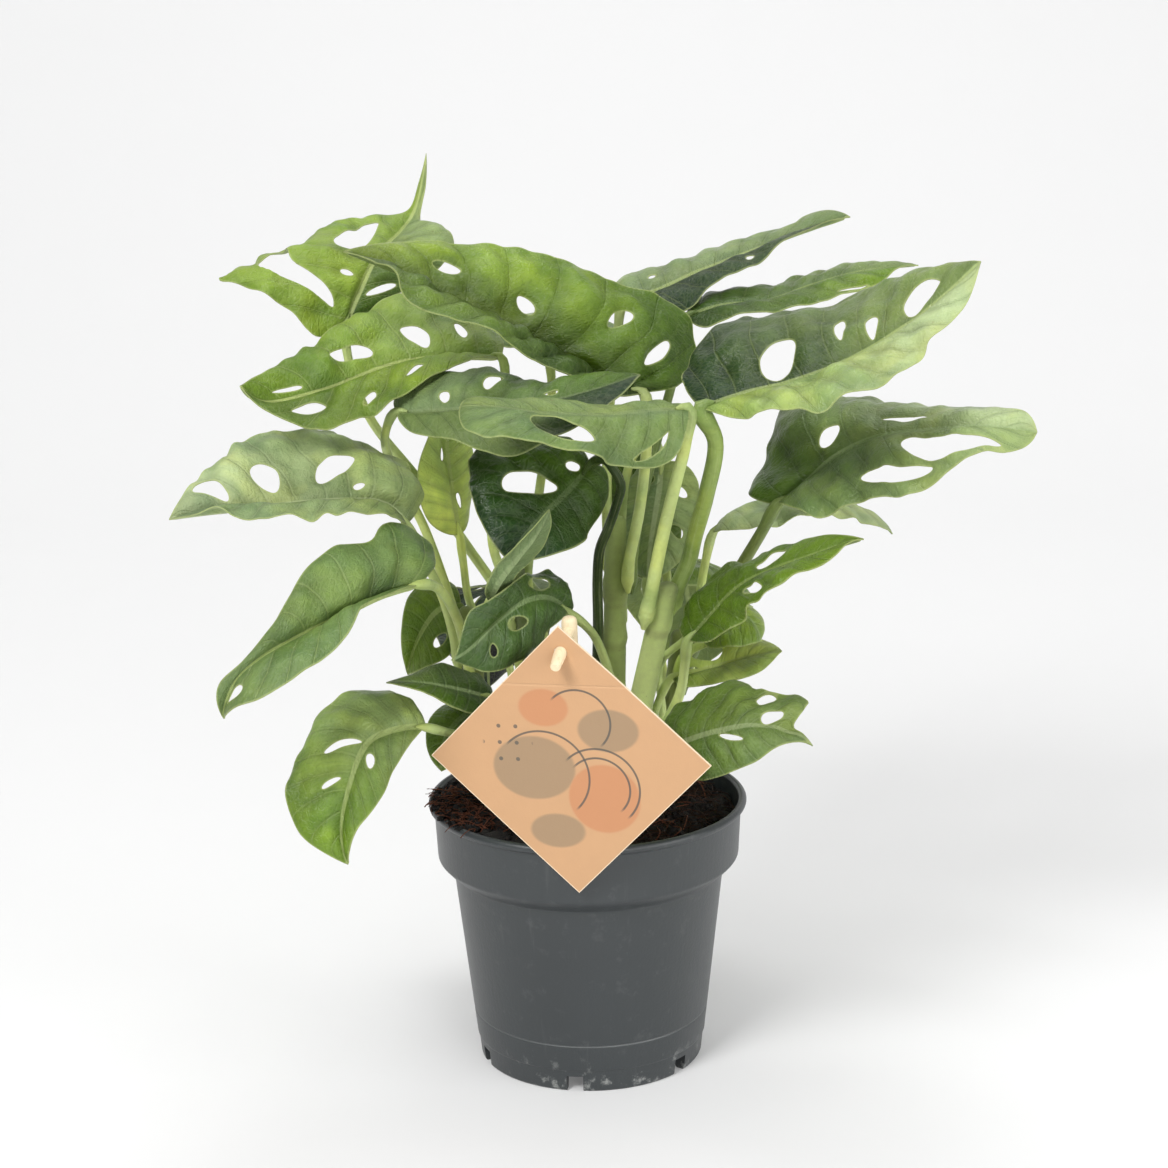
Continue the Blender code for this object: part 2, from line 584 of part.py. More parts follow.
        holes=[
            ("left", 0.26, 0.50, 0.035, 0.19, 0.04),
            ("left", 0.47, 0.48, 0.035, 0.20, 0.04),
            ("left", 0.67, 0.46, 0.030, 0.17, 0.04),
            ("right", 0.28, 0.50, 0.035, 0.19, 0.04),
            ("right", 0.50, 0.48, 0.035, 0.20, 0.04),
            ("right", 0.70, 0.46, 0.030, 0.17, 0.04),
        ],
    ),
    "leaf_behind_high": dict(
        rib=[(-12, 48, 262), (-16, 76, 270), (-22, 106, 268), (-26, 134, 256)],
        left=[(-30, 54, 264), (-46, 82, 262), (-42, 114, 254)],
        right=[(2, 56, 264), (14, 84, 264), (0, 118, 256)],
        stalk=[(-11, 42, 248), (-16, 34, 214)],
        vine="vine_back_left", joint=180, seat=50, stalk_radius=(1.6, 1.9), green="leaf_blue",
        holes=[
            ("left", 0.26, 0.50, 0.035, 0.19, 0.04),
            ("left", 0.47, 0.48, 0.035, 0.20, 0.04),
            ("left", 0.67, 0.46, 0.030, 0.17, 0.04),
            ("right", 0.28, 0.50, 0.035, 0.19, 0.04),
            ("right", 0.50, 0.48, 0.035, 0.20, 0.04),
            ("right", 0.70, 0.46, 0.030, 0.17, 0.04),
        ],
    ),
    "leaf_behind_mid": dict(
        rib=[(31, 36, 181), (26, 42, 190), (22, 46, 202), (19, 50, 213), (18, 54, 223)],
        left=[(22, 40, 182), (11, 46, 187), (7, 50, 201), (9, 54, 214), (13, 56, 222)],
        right=[(36, 40, 187), (38, 44, 197), (36, 48, 209), (29, 53, 219)],
        stalk=[(31, 24, 171), (27, 2, 158)],
        vine="vine_right", joint=150, seat=95, stalk_radius=(1.6, 1.9), green="leaf_green",
    ),
}


def clear_scene():
    for old in list(bpy.data.objects):
        bpy.data.objects.remove(old, do_unlink=True)


def make_material(name, colour, roughness):
    material = bpy.data.materials.new(name)
    material.use_nodes = True
    shader = material.node_tree.nodes["Principled BSDF"]
    shader.inputs["Base Color"].default_value = (*colour, 1.0)
    shader.inputs["Roughness"].default_value = roughness
    shader.inputs["Metallic"].default_value = 0.0
    material.diffuse_color = (*colour, 1.0)
    return material


def add_object(name, points, faces, material):
    """Make an object of points in millimetres and faces that point outwards."""
    mesh = bpy.data.meshes.new(name)
    mesh.from_pydata([tuple(float(c) * MM for c in p) for p in points], [], faces)
    mesh.materials.append(material)
    mesh.validate()
    obj = bpy.data.objects.new(name, mesh)
    bpy.context.collection.objects.link(obj)
    return obj


def combine(target, others, operation):
    """Apply one Boolean of the others to the target, then remove them."""
    tools = bpy.data.collections.new("tools")
    bpy.context.scene.collection.children.link(tools)
    for other in others:
        bpy.context.collection.objects.unlink(other)
        tools.objects.link(other)
    boolean = target.modifiers.new("combine", "BOOLEAN")
    boolean.operation = operation
    boolean.solver = "EXACT"
    boolean.operand_type = "COLLECTION"
    boolean.collection = tools
    evaluated = target.evaluated_get(bpy.context.evaluated_depsgraph_get())
    result = bpy.data.meshes.new_from_object(evaluated)
    target.modifiers.clear()
    target.data = result
    result.name = target.name
    for other in others:
        bpy.data.objects.remove(other, do_unlink=True)
    bpy.data.collections.remove(tools)


def round_smoothly(obj, angle=35):
    obj.data.shade_smooth()
    obj.data.set_sharp_from_angle(angle=math.radians(angle))


def ring(radius, z, sides, centre=(0, 0)):
    step = 2 * math.pi / sides
    return [
        (centre[0] + radius * math.cos(i * step), centre[1] + radius * math.sin(i * step), z)
        for i in range(sides)
    ]


def loft(rings, close_start=True, close_end=True):
    """Join rings of equal size, first to last, into one closed skin.

    Each ring runs anticlockwise as seen from the way the loft goes.
    """
    sides = len(rings[0])
    points = [p for one in rings for p in one]
    faces = []
    for row in range(len(rings) - 1):
        low = row * sides
        high = low + sides
        for i in range(sides):
            j = (i + 1) % sides
            faces.append((low + i, low + j, high + j, high + i))
    if close_start:
        faces.append(tuple(reversed(range(sides))))
    if close_end:
        last = (len(rings) - 1) * sides
        faces.append(tuple(last + i for i in range(sides)))
    return points, faces


def turned(profile, sides):
    """Turn a closed profile of (radius, z) pairs; its first and last points lie on the axis."""
    points = [(0, 0, profile[0][1])]
    for radius, z in profile[1:-1]:
        points += ring(radius, z, sides)
    points.append((0, 0, profile[-1][1]))
    top = len(points) - 1
    faces = []
    for i in range(sides):
        j = (i + 1) % sides
        faces.append((0, 1 + j, 1 + i))
        for row in range(len(profile) - 3):
            low = 1 + row * sides
            high = low + sides
            faces.append((low + i, low + j, high + j, high + i))
        last = 1 + (len(profile) - 3) * sides
        faces.append((last + i, last + j, top))
    return points, faces


def cylinder(name, radius, low, high, centre, sides, material):
    points, faces = loft([ring(radius, low, sides, centre), ring(radius, high, sides, centre)])
    return add_object(name, points, faces, material)


def tube(name, path, radii, sides, material):
    """Sweep a polygon along a path without twist, with flat ends."""
    path = np.array(path, float)
    tangents = np.gradient(path, axis=0)
    tangents /= np.linalg.norm(tangents, axis=1)[:, None]
    start = np.cross(tangents[0], (1.0, 0.0, 0.0))
    if np.linalg.norm(start) < 0.3:
        start = np.cross(tangents[0], (0.0, 1.0, 0.0))
    side = start / np.linalg.norm(start)
    rings = []
    for centre, tangent, radius in zip(path, tangents, radii):
        side = side - tangent * side.dot(tangent)
        side /= np.linalg.norm(side)
        other = np.cross(tangent, side)
        turn = [2 * math.pi * i / sides for i in range(sides)]
        rings.append([centre + radius * (math.cos(a) * side + math.sin(a) * other) for a in turn])
    points, faces = loft(rings)
    return add_object(name, points, faces, material)


def smooth_line(points, count):
    """A smooth curve through the points, as count places evenly spaced along it."""
    points = np.array(points, float)
    spans = np.sqrt(np.linalg.norm(np.diff(points, axis=0), axis=1))
    knots = np.concatenate([[0], np.cumsum(spans)])
    chords = np.diff(points, axis=0) / spans[:, None]
    slopes = np.empty_like(points)
    weight = (spans[:-1] / (spans[:-1] + spans[1:]))[:, None]
    slopes[1:-1] = (1 - weight) * chords[:-1] + weight * chords[1:]
    slopes[0] = 2 * chords[0] - slopes[1] if len(points) > 2 else chords[0]
    slopes[-1] = 2 * chords[-1] - slopes[-2] if len(points) > 2 else chords[-1]
    t = np.linspace(0, knots[-1], CURVE_FINENESS * count)
    k = np.clip(np.searchsorted(knots, t, side="right") - 1, 0, len(spans) - 1)
    h = spans[k][:, None]
    x = ((t - knots[k]) / spans[k])[:, None]
    fine = (
        points[k] * (2 * x**3 - 3 * x**2 + 1)
        + points[k + 1] * (3 * x**2 - 2 * x**3)
        + slopes[k] * h * (x**3 - 2 * x**2 + x)
        + slopes[k + 1] * h * (x**3 - x**2)
    )
    length = np.concatenate([[0], np.cumsum(np.linalg.norm(np.diff(fine, axis=0), axis=1))])
    places = np.linspace(0, length[-1], count)
    return np.stack([np.interp(places, length, fine[:, axis]) for axis in range(3)], axis=1)


def at(line, share):
    """The point of an evenly spaced line at a share of its length."""
    place = share * (len(line) - 1)
    low = min(int(place), len(line) - 2)
    return line[low] + (line[low + 1] - line[low]) * (place - low)


def make_pot(material):
    inner_foot = FOOT_RADIUS - FOOT_RING_WIDTH
    profile = [
        (0, 0),
        (CENTRE_PAD_RADIUS, 0),
        (CENTRE_PAD_RADIUS + PAD_SLOPE, FLOOR_UNDER_Z),
        (inner_foot - FOOT_RING_SLOPE, FLOOR_UNDER_Z),
        (inner_foot, 0),
        (FOOT_RADIUS - FOOT_BEVEL[0], 0),
        (FOOT_RADIUS, FOOT_BEVEL[1]),
        (FOOT_STEP_RADIUS, FOOT_STEP_Z),
        (SHOULDER_RADIUS, SHOULDER_Z),
        (SHOULDER_RADIUS + COLLAR_LEDGE[0], COLLAR_FOOT_Z - COLLAR_LEDGE[1]),
        (COLLAR_FOOT_RADIUS, COLLAR_FOOT_Z),
        (COLLAR_TOP_RADIUS, POT_HEIGHT - BEAD_FOOT_DEPTH),
        *[(RIM_RADIUS - inset, POT_HEIGHT - depth) for inset, depth in RIM_BEAD],
        (RIM_RADIUS - LIP_WIDTH, POT_HEIGHT),
        (RIM_RADIUS - LIP_WIDTH - LIP_BEVEL, POT_HEIGHT - LIP_BEVEL),
        (COLLAR_FOOT_RADIUS - WALL, COLLAR_FOOT_Z + INNER_LEDGE[0]),
        (SHOULDER_RADIUS - WALL, SHOULDER_Z + INNER_LEDGE[1]),
        (FOOT_STEP_RADIUS - WALL, FLOOR_TOP_Z),
        (0, FLOOR_TOP_Z),
    ]
    points, faces = turned(profile, POT_SIDES)
    pot = add_object("pot", points, faces, material)
    cutters = []
    for k in range(NOTCH_COUNT):
        angle = math.radians(NOTCH_FIRST_ANGLE + k * 360 / NOTCH_COUNT - 90)
        reach = (inner_foot - CUT_MARGIN, FOOT_STEP_RADIUS + CUT_MARGIN)
        cutters.append(notch_cutter(angle, *reach, material))
        hole_angle = angle + math.pi / NOTCH_COUNT
        centre = (DRAIN_RING_RADIUS * math.cos(hole_angle), DRAIN_RING_RADIUS * math.sin(hole_angle))
        low, high = FLOOR_UNDER_Z - CUT_MARGIN, FLOOR_TOP_Z + CUT_MARGIN
        cutters.append(cylinder("drain", DRAIN_RADIUS, low, high, centre, DRAIN_SIDES, material))
    combine(pot, cutters, "DIFFERENCE")
    round_smoothly(pot)
    return pot


def notch_cutter(angle, inner, outer, material):
    """A box that cuts one drain notch out of the foot ring, under the floor."""
    along = np.array([math.cos(angle), math.sin(angle), 0])
    across = np.array([-along[1], along[0], 0]) * NOTCH_WIDTH / 2
    low = np.array([0, 0, -1.0])
    high = np.array([0, 0, NOTCH_HEIGHT])
    rings = []
    for height in (low, high):
        corners = [inner * along - across, outer * along - across]
        corners += [outer * along + across, inner * along + across]
        rings.append([corner + height for corner in corners])
    points, faces = loft(rings)
    return add_object("notch", points, faces, material)


def soil_height(x, y):
    """Height of the soil: a low dome that leans to the left, with small lumps."""
    radius = math.hypot(x, y) / RIM_RADIUS
    dome = SOIL_DOME * (1 - radius**2)
    tilt = -SOIL_TILT * x / RIM_RADIUS
    (large_x, large_y), (small_x, small_y) = SOIL_LUMP_WAVES
    lumps = math.sin(large_x * x + SOIL_LUMP_START) * math.cos(large_y * y)
    lumps += SMALL_LUMP_SHARE * math.sin(small_x * x + small_y * y)
    return SOIL_TOP_Z + dome + tilt + SOIL_LUMP * lumps


def make_soil(material, stems):
    """Fill the pot inside its wall, and leave a plain blind hole for each stem."""
    side = GAP + WALL + SOIL_CLEARANCE
    rows = [
        ring(FOOT_STEP_RADIUS - side, FLOOR_TOP_Z + GAP, SOIL_SIDES),
        ring(SHOULDER_RADIUS - side, SHOULDER_Z, SOIL_SIDES),
        ring(COLLAR_FOOT_RADIUS - side, COLLAR_FOOT_Z + SOIL_STEP_Z, SOIL_SIDES),
    ]
    for share in SOIL_RING_SHARES:
        flat = ring((COLLAR_TOP_RADIUS - side) * share, 0, SOIL_SIDES)
        rows.append([(x, y, soil_height(x, y)) for x, y, _ in flat])
    points, faces = loft(rows)
    soil = add_object("soil", points, faces, material)
    cutters = []
    for path, radius, sides in stems:
        cutters.append(tube("socket", path, [radius + GAP] * 2, sides, material))
    combine(soil, cutters, "DIFFERENCE")
    return soil


def vine_line(vine):
    return smooth_line(vine["axis"], DENSE)


def vine_at(vine, z):
    """Centre and radius of a vine at a height."""
    line = vine_line(vine)
    share = np.interp(z, line[:, 2], np.linspace(0, 1, DENSE))
    foot, top = vine["radius"]
    return at(line, share), foot + (top - foot) * share


def make_vine(name, vine, material):
    line = vine_line(vine)
    x, y, _ = vine["axis"][0]
    foot_radius, top_radius = vine["radius"]
    path = [(x, y, VINE_DEPTH_Z), (x, y, VINE_STRAIGHT_Z - VINE_BEND_LENGTH)]
    radii = [foot_radius, foot_radius]
    for share in VINE_RING_SHARES:
        path.append(at(line, share))
        radii.append(foot_radius + (top_radius - foot_radius) * share)
    rings = [ring(r, z, VINE_SIDES, (px, py)) for (px, py, z), r in zip(path, radii)]
    top = path[-1]
    tip_radius, tip_z = top_radius * VINE_TOP_SHARE, top[2] + VINE_TOP_HEIGHT
    rings.append(ring(tip_radius, tip_z, VINE_SIDES, (top[0], top[1])))
    points, faces = loft(rings)
    stem = add_object(name, points, faces, material)
    round_smoothly(stem, 60)
    return stem


def card_frame():
    """Centre of the hanging label and its directions: sideways, upward and out of its front."""
    turn, lean, roll = (math.radians(angle) for angle in (CARD_TURN, CARD_LEAN, CARD_ROLL))
    level = np.array([math.cos(turn), -math.sin(turn), 0])
    outward = np.array([-math.sin(turn), -math.cos(turn), 0]) * math.cos(lean)
    outward[2] = -math.sin(lean)
    rising = np.cross(outward, level)
    along = math.cos(roll) * level + math.sin(roll) * rising
    upward = math.cos(roll) * rising - math.sin(roll) * level
    return np.array(CARD_CENTRE), along, upward, outward


def make_card(material):
    centre, along, upward, outward = card_frame()
    reach = CARD_SIDE / math.sqrt(2)
    corners = [centre - reach * upward, centre + reach * along]
    corners += [centre + reach * upward, centre - reach * along]
    half = outward * CARD_THICKNESS / 2
    points, faces = loft([[c - half for c in corners], [c + half for c in corners]])
    card = add_object("label_card", points, faces, material)
    radii = [radius + GAP for radius in PEG_RADII[:2]]
    punch = tube("punch", peg_path()[:2], radii, STICK_SIDES, material)
    combine(card, [punch], "DIFFERENCE")
    return card


def peg_path():
    """The straight peg: its root in the stick, a place just in front of the label, and its end."""
    start, end = np.array(PEG_START), np.array(PEG_END)
    return [start, start + (end - start) * PEG_KNEE_SHARE, end]


def make_stick(material):
    """The wooden stick behind the label, with the peg that carries the label."""
    foot, top = np.array(STICK_FOOT), np.array(STICK_TOP)
    path = [foot, foot + (top - foot) * STICK_KNEE_SHARE, top]
    stick = tube("label_stick", path, STICK_RADII, STICK_SIDES, material)
    peg = tube("peg", peg_path(), PEG_RADII, STICK_SIDES, material)
    combine(stick, [peg], "UNION")
    round_smoothly(stick)
    return stick


def spaced_line(points, neck):
    """A line evenly spaced along its length, or with a neck evenly spaced on either side of it."""
    line = smooth_line(points, DENSE)
    if neck is None:
        return line
    place = np.argmin(np.linalg.norm(line - points[neck], axis=1)) / (DENSE - 1)
    shares = np.interp(np.linspace(0, 1, DENSE), [0, NECK_SHARE, 1], [0, place, 1])
    return np.array([at(line, share) for share in shares])


def blade_lines(leaf):
    """The midrib and both margins from base to tip, so that equal shares lie across from each other."""
    base, tip = leaf["rib"][0], leaf["rib"][-1]
    neck = leaf.get("neck")
    lines = {"rib": spaced_line(leaf["rib"], neck)}
    for side in ("left", "right"):
        lines[side] = spaced_line([base, *leaf[side], tip], neck)
    return lines


def blade_point(lines, side, along, out):
    """A point of the blade: along is the share of the midrib, out is the share to the margin."""
    root = at(lines["rib"], along)
    across = at(lines[side], along) - root
    width = np.linalg.norm(across)
    further = at(lines["rib"], min(along + NEAR_SHARE, 1))
    ahead = further - at(lines["rib"], max(along - NEAR_SHARE, 0))
    face = np.cross(ahead, across) if side == "left" else np.cross(across, ahead)
    face /= max(np.linalg.norm(face), 1e-9)
    arch = BLADE_ARCH * width * 4 * out * (1 - out)
    wave = BLADE_WAVE * out**2 * math.sin(BLADE_WAVE_RATE * along + BLADE_WAVE_START[side])
    fade = min(1, width / NARROW_BLADE)
    return root + out * across + face * (arch + wave * fade)


def hole_outline(along, out, half_along, half_out, slant):
    """An egg-shaped hole that lies along the side veins, narrower towards the midrib."""
    outline = []
    for k in range(HOLE_POINTS):
        turn = 2 * math.pi * (k + 0.5) / HOLE_POINTS
        egg = 1 + HOLE_EGG * math.sin(turn)
        ahead = half_along * egg * math.cos(turn) + slant * math.sin(turn)
        outline.append((along + ahead, out + half_out * math.sin(turn)))
    return outline


def blade_layout(leaf, lines):
    """Places on the flat blade, its rim loops and the edges that the triangles must keep.

    A place is (side, share along, share out).
    """
    places = [("left", 0, 0), ("left", 1, 0)]
    base, tip = 0, 1
    edges = []

    def chain(stations, first, last):
        row = [first]
        for place in stations:
            row.append(len(places))
            places.append(place)
        row.append(last)
        edges.extend(zip(row[:-1], row[1:]))
        return row

    left_row = chain([("left", a, 1) for a in MARGIN_STATIONS], base, tip)
    right_row = chain([("right", a, 1) for a in MARGIN_STATIONS], base, tip)
    chain([("left", a, 0) for a in RIB_STATIONS], base, tip)
    outline = left_row + right_row[-2:0:-1]
    holes = []
    for side, *shape in leaf.get("holes", []):
        loop = []
        for place_along, place_out in hole_outline(*shape):
            loop.append(len(places))
            places.append((side, place_along, place_out))
        edges.extend(zip(loop, loop[1:] + loop[:1]))
        holes.append(loop)
    for side in ("left", "right"):
        for along in FIELD_STATIONS:
            if clear_of_holes(leaf, side, along, FIELD_OUT):
                places.append((side, along, FIELD_OUT))
    return places, outline, holes, edges


def clear_of_holes(leaf, side, along, out):
    for hole_side, hole_along, hole_out, half_along, half_out, slant in leaf.get("holes", []):
        reach = half_along * (1 + HOLE_EGG) + abs(slant)
        near_along = abs(along - hole_along) < reach + FIELD_CLEAR_ALONG
        near_out = abs(out - hole_out) < half_out + FIELD_CLEAR_OUT
        if hole_side == side and near_along and near_out:
            return False
    return True


def inside(point, polygon):
    """Whether a flat point lies inside a polygon."""
    x, y = point
    odd = False
    for (ax, ay), (bx, by) in zip(polygon, polygon[1:] + polygon[:1]):
        if (ay > y) != (by > y) and x < ax + (y - ay) * (bx - ax) / (by - ay):
            odd = not odd
    return odd


def blade_mesh(leaf, lines):
    """Points and faces of the blade: two like faces a thickness apart, closed along every rim."""
    length = np.linalg.norm(np.diff(lines["rib"], axis=0), axis=1).sum()
    places, outline, holes, edges = blade_layout(leaf, lines)
    flat = []
    for side, along, out in places:
        width = np.linalg.norm(at(lines[side], along) - at(lines["rib"], along))
        flat.append(Vector((along * length, out * width * (1 if side == "left" else -1))))
    cut = delaunay_2d_cdt(flat, edges, [], 0, 1e-5)
    index = [origin[0] for origin in cut[3]]
    rim = [tuple(flat[i]) for i in outline]
    openings = [[tuple(flat[i]) for i in loop] for loop in holes]
    triangles = []
    for face in cut[2]:
        corners = [index[i] for i in face]
        middle = sum((flat[i] for i in corners), Vector((0, 0))) / 3
        if inside(middle, rim) and not any(inside(middle, opening) for opening in openings):
            triangles.append(corners)
    middle_points = np.array([blade_point(lines, *place) for place in places])
    return thicken(middle_points, triangles)


def thicken(middle, triangles):
    """Give a sheet its thickness, with the same triangles on both faces and walls round its rims."""
    triangles = np.array(triangles)
    used = np.unique(triangles)
    renumber = np.full(len(middle), -1)
    renumber[used] = np.arange(len(used))
    middle = middle[used]
    triangles = renumber[triangles]
    a, b, c = (middle[triangles[:, k]] for k in range(3))
    face_normals = np.cross(b - a, c - a)
    normals = np.zeros_like(middle)
    for k in range(3):
        np.add.at(normals, triangles[:, k], face_normals)
    normals /= np.linalg.norm(normals, axis=1)[:, None]
    points = np.concatenate([middle + normals * BLADE_THICKNESS / 2, middle - normals * BLADE_THICKNESS / 2])
    count = len(middle)
    faces = [tuple(int(v) for v in t) for t in triangles]
    faces += [tuple(int(v) + count for v in t[::-1]) for t in triangles]
    directed = {(t[k], t[(k + 1) % 3]) for t in faces[:len(triangles)] for k in range(3)}
    for first, second in sorted(directed):
        if (second, first) not in directed:
            faces.append((second, first, first + count))
            faces.append((second, first + count, second + count))
    return points, faces


def stalk_path(leaf, lines):
    """The stalk from under the blade's base down to a short sheath beside its vine."""
    vine = VINES[leaf["vine"]]
    radius = leaf["stalk_radius"][1]
    centre, vine_radius = vine_at(vine, leaf["joint"])
    low_centre, low_radius = vine_at(vine, leaf["joint"] - SHEATH_LENGTH)
    outward = np.array(leaf["stalk"][-1][:2], float) - centre[:2]
    if "seat" in leaf:
        turn = math.radians(leaf["seat"])
        outward = np.array([math.cos(turn), math.sin(turn)])
    outward = np.append(outward / np.linalg.norm(outward), 0)
    foot = centre + outward * (vine_radius + radius + GAP)
    sheath_end = low_centre + outward * (low_radius + radius + GAP)
    length = np.linalg.norm(np.diff(lines["rib"], axis=0), axis=1).sum()
    reach = at(lines["rib"], STALK_REACH / length)
    return [reach, leaf["rib"][0], *leaf["stalk"], foot, sheath_end]


def make_leaf(name, leaf, material):
    lines = blade_lines(leaf)
    points, faces = blade_mesh(leaf, lines)
    blade = add_object(name, points, faces, material)
    path = stalk_path(leaf, lines)
    rough_length = np.linalg.norm(np.diff(np.array(path, float), axis=0), axis=1).sum()
    count = max(STALK_LEAST_RINGS, round(rough_length / STALK_STEP) + 1)
    route = smooth_line(path, count)
    top, foot = leaf["stalk_radius"]
    radii = [top * STALK_TIP_SHARE, *np.linspace(top, foot, count - 1)]
    stalk = tube("stalk", route, radii, STALK_SIDES, material)
    combine(blade, [stalk], "UNION")
    round_smoothly(blade, 50)
    return blade


def build():
    clear_scene()
    plastic = make_material("pot_plastic", (0.075, 0.085, 0.087), 0.42)
    soil = make_material("soil", (0.012, 0.008, 0.006), 0.95)
    stem = make_material("stem", (0.235, 0.335, 0.085), 0.45)
    paper = make_material("label_paper", (0.80, 0.50, 0.28), 0.75)
    wood = make_material("peg_wood", (0.78, 0.62, 0.42), 0.65)
    greens = {name: make_material(name, colour, 0.38) for name, colour in GREENS.items()}
    make_pot(plastic)
    stems = []
    for vine in VINES.values():
        x, y, _ = vine["axis"][0]
        stems.append(([(x, y, VINE_DEPTH_Z - GAP), (x, y, SOCKET_TOP_Z)], vine["radius"][0], VINE_SIDES))
    foot, top = np.array(STICK_FOOT), np.array(STICK_TOP)
    socket = [foot + (top - foot) * share for share in STICK_SOCKET_SHARES]
    stems.append((socket, STICK_RADII[0], STICK_SIDES))
    make_soil(soil, stems)
    make_card(paper)
    make_stick(wood)
    for name, vine in VINES.items():
        make_vine(name, vine, stem)
    for name, leaf in LEAVES.items():
        make_leaf(name, leaf, greens[leaf["green"]])


build()
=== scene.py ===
# %% [markdown]
# # A young houseplant with holed leaves, in its nursery pot
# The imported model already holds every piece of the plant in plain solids: the pot, the soil, the
# stems, one solid for each leaf, and a card label on a wooden peg. This lesson keeps their places
# and gives each of them a finer piece, with quilted blades, veins, fibres and worn plastic.

import math

import bpy
import numpy as np
from mathutils import Matrix, Vector, noise
from mathutils.geometry import delaunay_2d_cdt
from mathutils.kdtree import KDTree


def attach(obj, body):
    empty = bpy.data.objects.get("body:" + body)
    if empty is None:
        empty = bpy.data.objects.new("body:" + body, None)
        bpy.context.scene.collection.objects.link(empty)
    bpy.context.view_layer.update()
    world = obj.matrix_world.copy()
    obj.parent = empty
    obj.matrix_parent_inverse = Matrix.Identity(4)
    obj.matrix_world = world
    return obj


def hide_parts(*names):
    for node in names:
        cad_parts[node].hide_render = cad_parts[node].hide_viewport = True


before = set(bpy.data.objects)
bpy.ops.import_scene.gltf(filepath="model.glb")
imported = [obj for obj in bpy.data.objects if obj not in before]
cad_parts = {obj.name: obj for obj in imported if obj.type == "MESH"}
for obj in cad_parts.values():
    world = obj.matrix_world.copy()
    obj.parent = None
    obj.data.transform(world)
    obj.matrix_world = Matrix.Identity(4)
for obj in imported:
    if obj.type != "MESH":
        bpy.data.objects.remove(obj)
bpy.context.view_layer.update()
MM = 0.001
print("solids in the frame:", len(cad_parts))


# %% [markdown]
# ## Small tools for meshes
# Every piece is made of points in millimetres and faces. The pieces stay at the origin and carry
# their place in their own mesh, so a pattern on object coordinates has the same scale everywhere.
# Values that a material needs along a leaf are stored on the points as named attributes.

# %% Mesh helpers
KINDS = {"FLOAT": "value", "FLOAT_VECTOR": "vector", "FLOAT_COLOR": "color"}


def add_piece(name, points, faces, material, sharp=50):
    mesh = bpy.data.meshes.new(name)
    mesh.from_pydata((np.asarray(points, float) * MM).tolist(), [], faces)
    mesh.materials.append(material)
    mesh.update()
    mesh.shade_smooth()
    mesh.set_sharp_from_angle(angle=math.radians(sharp))
    piece = bpy.data.objects.new(name, mesh)
    bpy.context.collection.objects.link(piece)
    return piece


def store(piece, name, values, kind="FLOAT"):
    layer = piece.data.attributes.new(name, kind, "POINT")
    layer.data.foreach_set(KINDS[kind], np.ravel(np.asarray(values, np.float32)))


def dress(piece, slot, *nodes):
    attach(piece, "root")
    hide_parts(*nodes)


def linear(red, green, blue):
    """A colour given as a screen shows it, 0 to 255, in the linear values that shaders use."""
    shares = (np.array([red, green, blue]) / 255 + 0.055) / 1.055
    return np.where(shares > 0.0913, shares**2.4, np.array([red, green, blue]) / 255 / 12.92)


# %% [markdown]
# ## Skins over rings and curves
# A stem, a stalk or a peg is a row of rings along a smooth curve, joined into one closed skin. The
# curve passes through a few chosen points and is then spaced evenly along its length, so that a
# share of the length means the same everywhere.

# %% Curves and skins
FINE_STEPS = 12


def loft(rings):
    """Join rings of equal size into one closed skin, anticlockwise seen from the way it goes."""
    sides = len(rings[0])
    points = np.concatenate(rings)
    faces = []
    for row in range(len(rings) - 1):
        low = row * sides
        for i in range(sides):
            j = (i + 1) % sides
            faces.append((low + i, low + j, low + sides + j, low + sides + i))
    last = (len(rings) - 1) * sides
    faces.append(tuple(reversed(range(sides))))
    faces.append(tuple(last + i for i in range(sides)))
    return points, faces


def sweep(path, radii, sides):
    """Rings of a round tube along a path, without twist."""
    path = np.array(path, float)
    tangents = np.gradient(path, axis=0)
    tangents /= np.linalg.norm(tangents, axis=1)[:, None]
    side = np.cross(tangents[0], (1.0, 0.0, 0.0))
    if np.linalg.norm(side) < 0.3:
        side = np.cross(tangents[0], (0.0, 1.0, 0.0))
    turn = np.arange(sides) * 2 * math.pi / sides
    rings = []
    for centre, tangent, radius in zip(path, tangents, radii):
        side = side - tangent * side.dot(tangent)
        side /= np.linalg.norm(side)
        other = np.cross(tangent, side)
        ring = np.outer(np.cos(turn), side) + np.outer(np.sin(turn), other)
        rings.append(centre + radius * ring)
    return rings


def smooth_line(points, count):
    """A smooth curve through the points, as count places evenly spaced along it."""
    points = np.array(points, float)
    spans = np.sqrt(np.linalg.norm(np.diff(points, axis=0), axis=1))
    knots = np.concatenate([[0], np.cumsum(spans)])
    chords = np.diff(points, axis=0) / spans[:, None]
    slopes = np.empty_like(points)
    weight = (spans[:-1] / (spans[:-1] + spans[1:]))[:, None]
    slopes[1:-1] = (1 - weight) * chords[:-1] + weight * chords[1:]
    slopes[0] = 2 * chords[0] - slopes[1] if len(points) > 2 else chords[0]
    slopes[-1] = 2 * chords[-1] - slopes[-2] if len(points) > 2 else chords[-1]
    t = np.linspace(0, knots[-1], FINE_STEPS * count)
    k = np.clip(np.searchsorted(knots, t, side="right") - 1, 0, len(spans) - 1)
    h = spans[k][:, None]
    x = ((t - knots[k]) / spans[k])[:, None]
    fine = (
        points[k] * (2 * x**3 - 3 * x**2 + 1)
        + points[k + 1] * (3 * x**2 - 2 * x**3)
        + slopes[k] * h * (x**3 - 2 * x**2 + x)
        + slopes[k + 1] * h * (x**3 - x**2)
    )
    length = np.concatenate([[0], np.cumsum(np.linalg.norm(np.diff(fine, axis=0), axis=1))])
    places = np.linspace(0, length[-1], count)
    return np.stack([np.interp(places, length, fine[:, axis]) for axis in range(3)], axis=1)


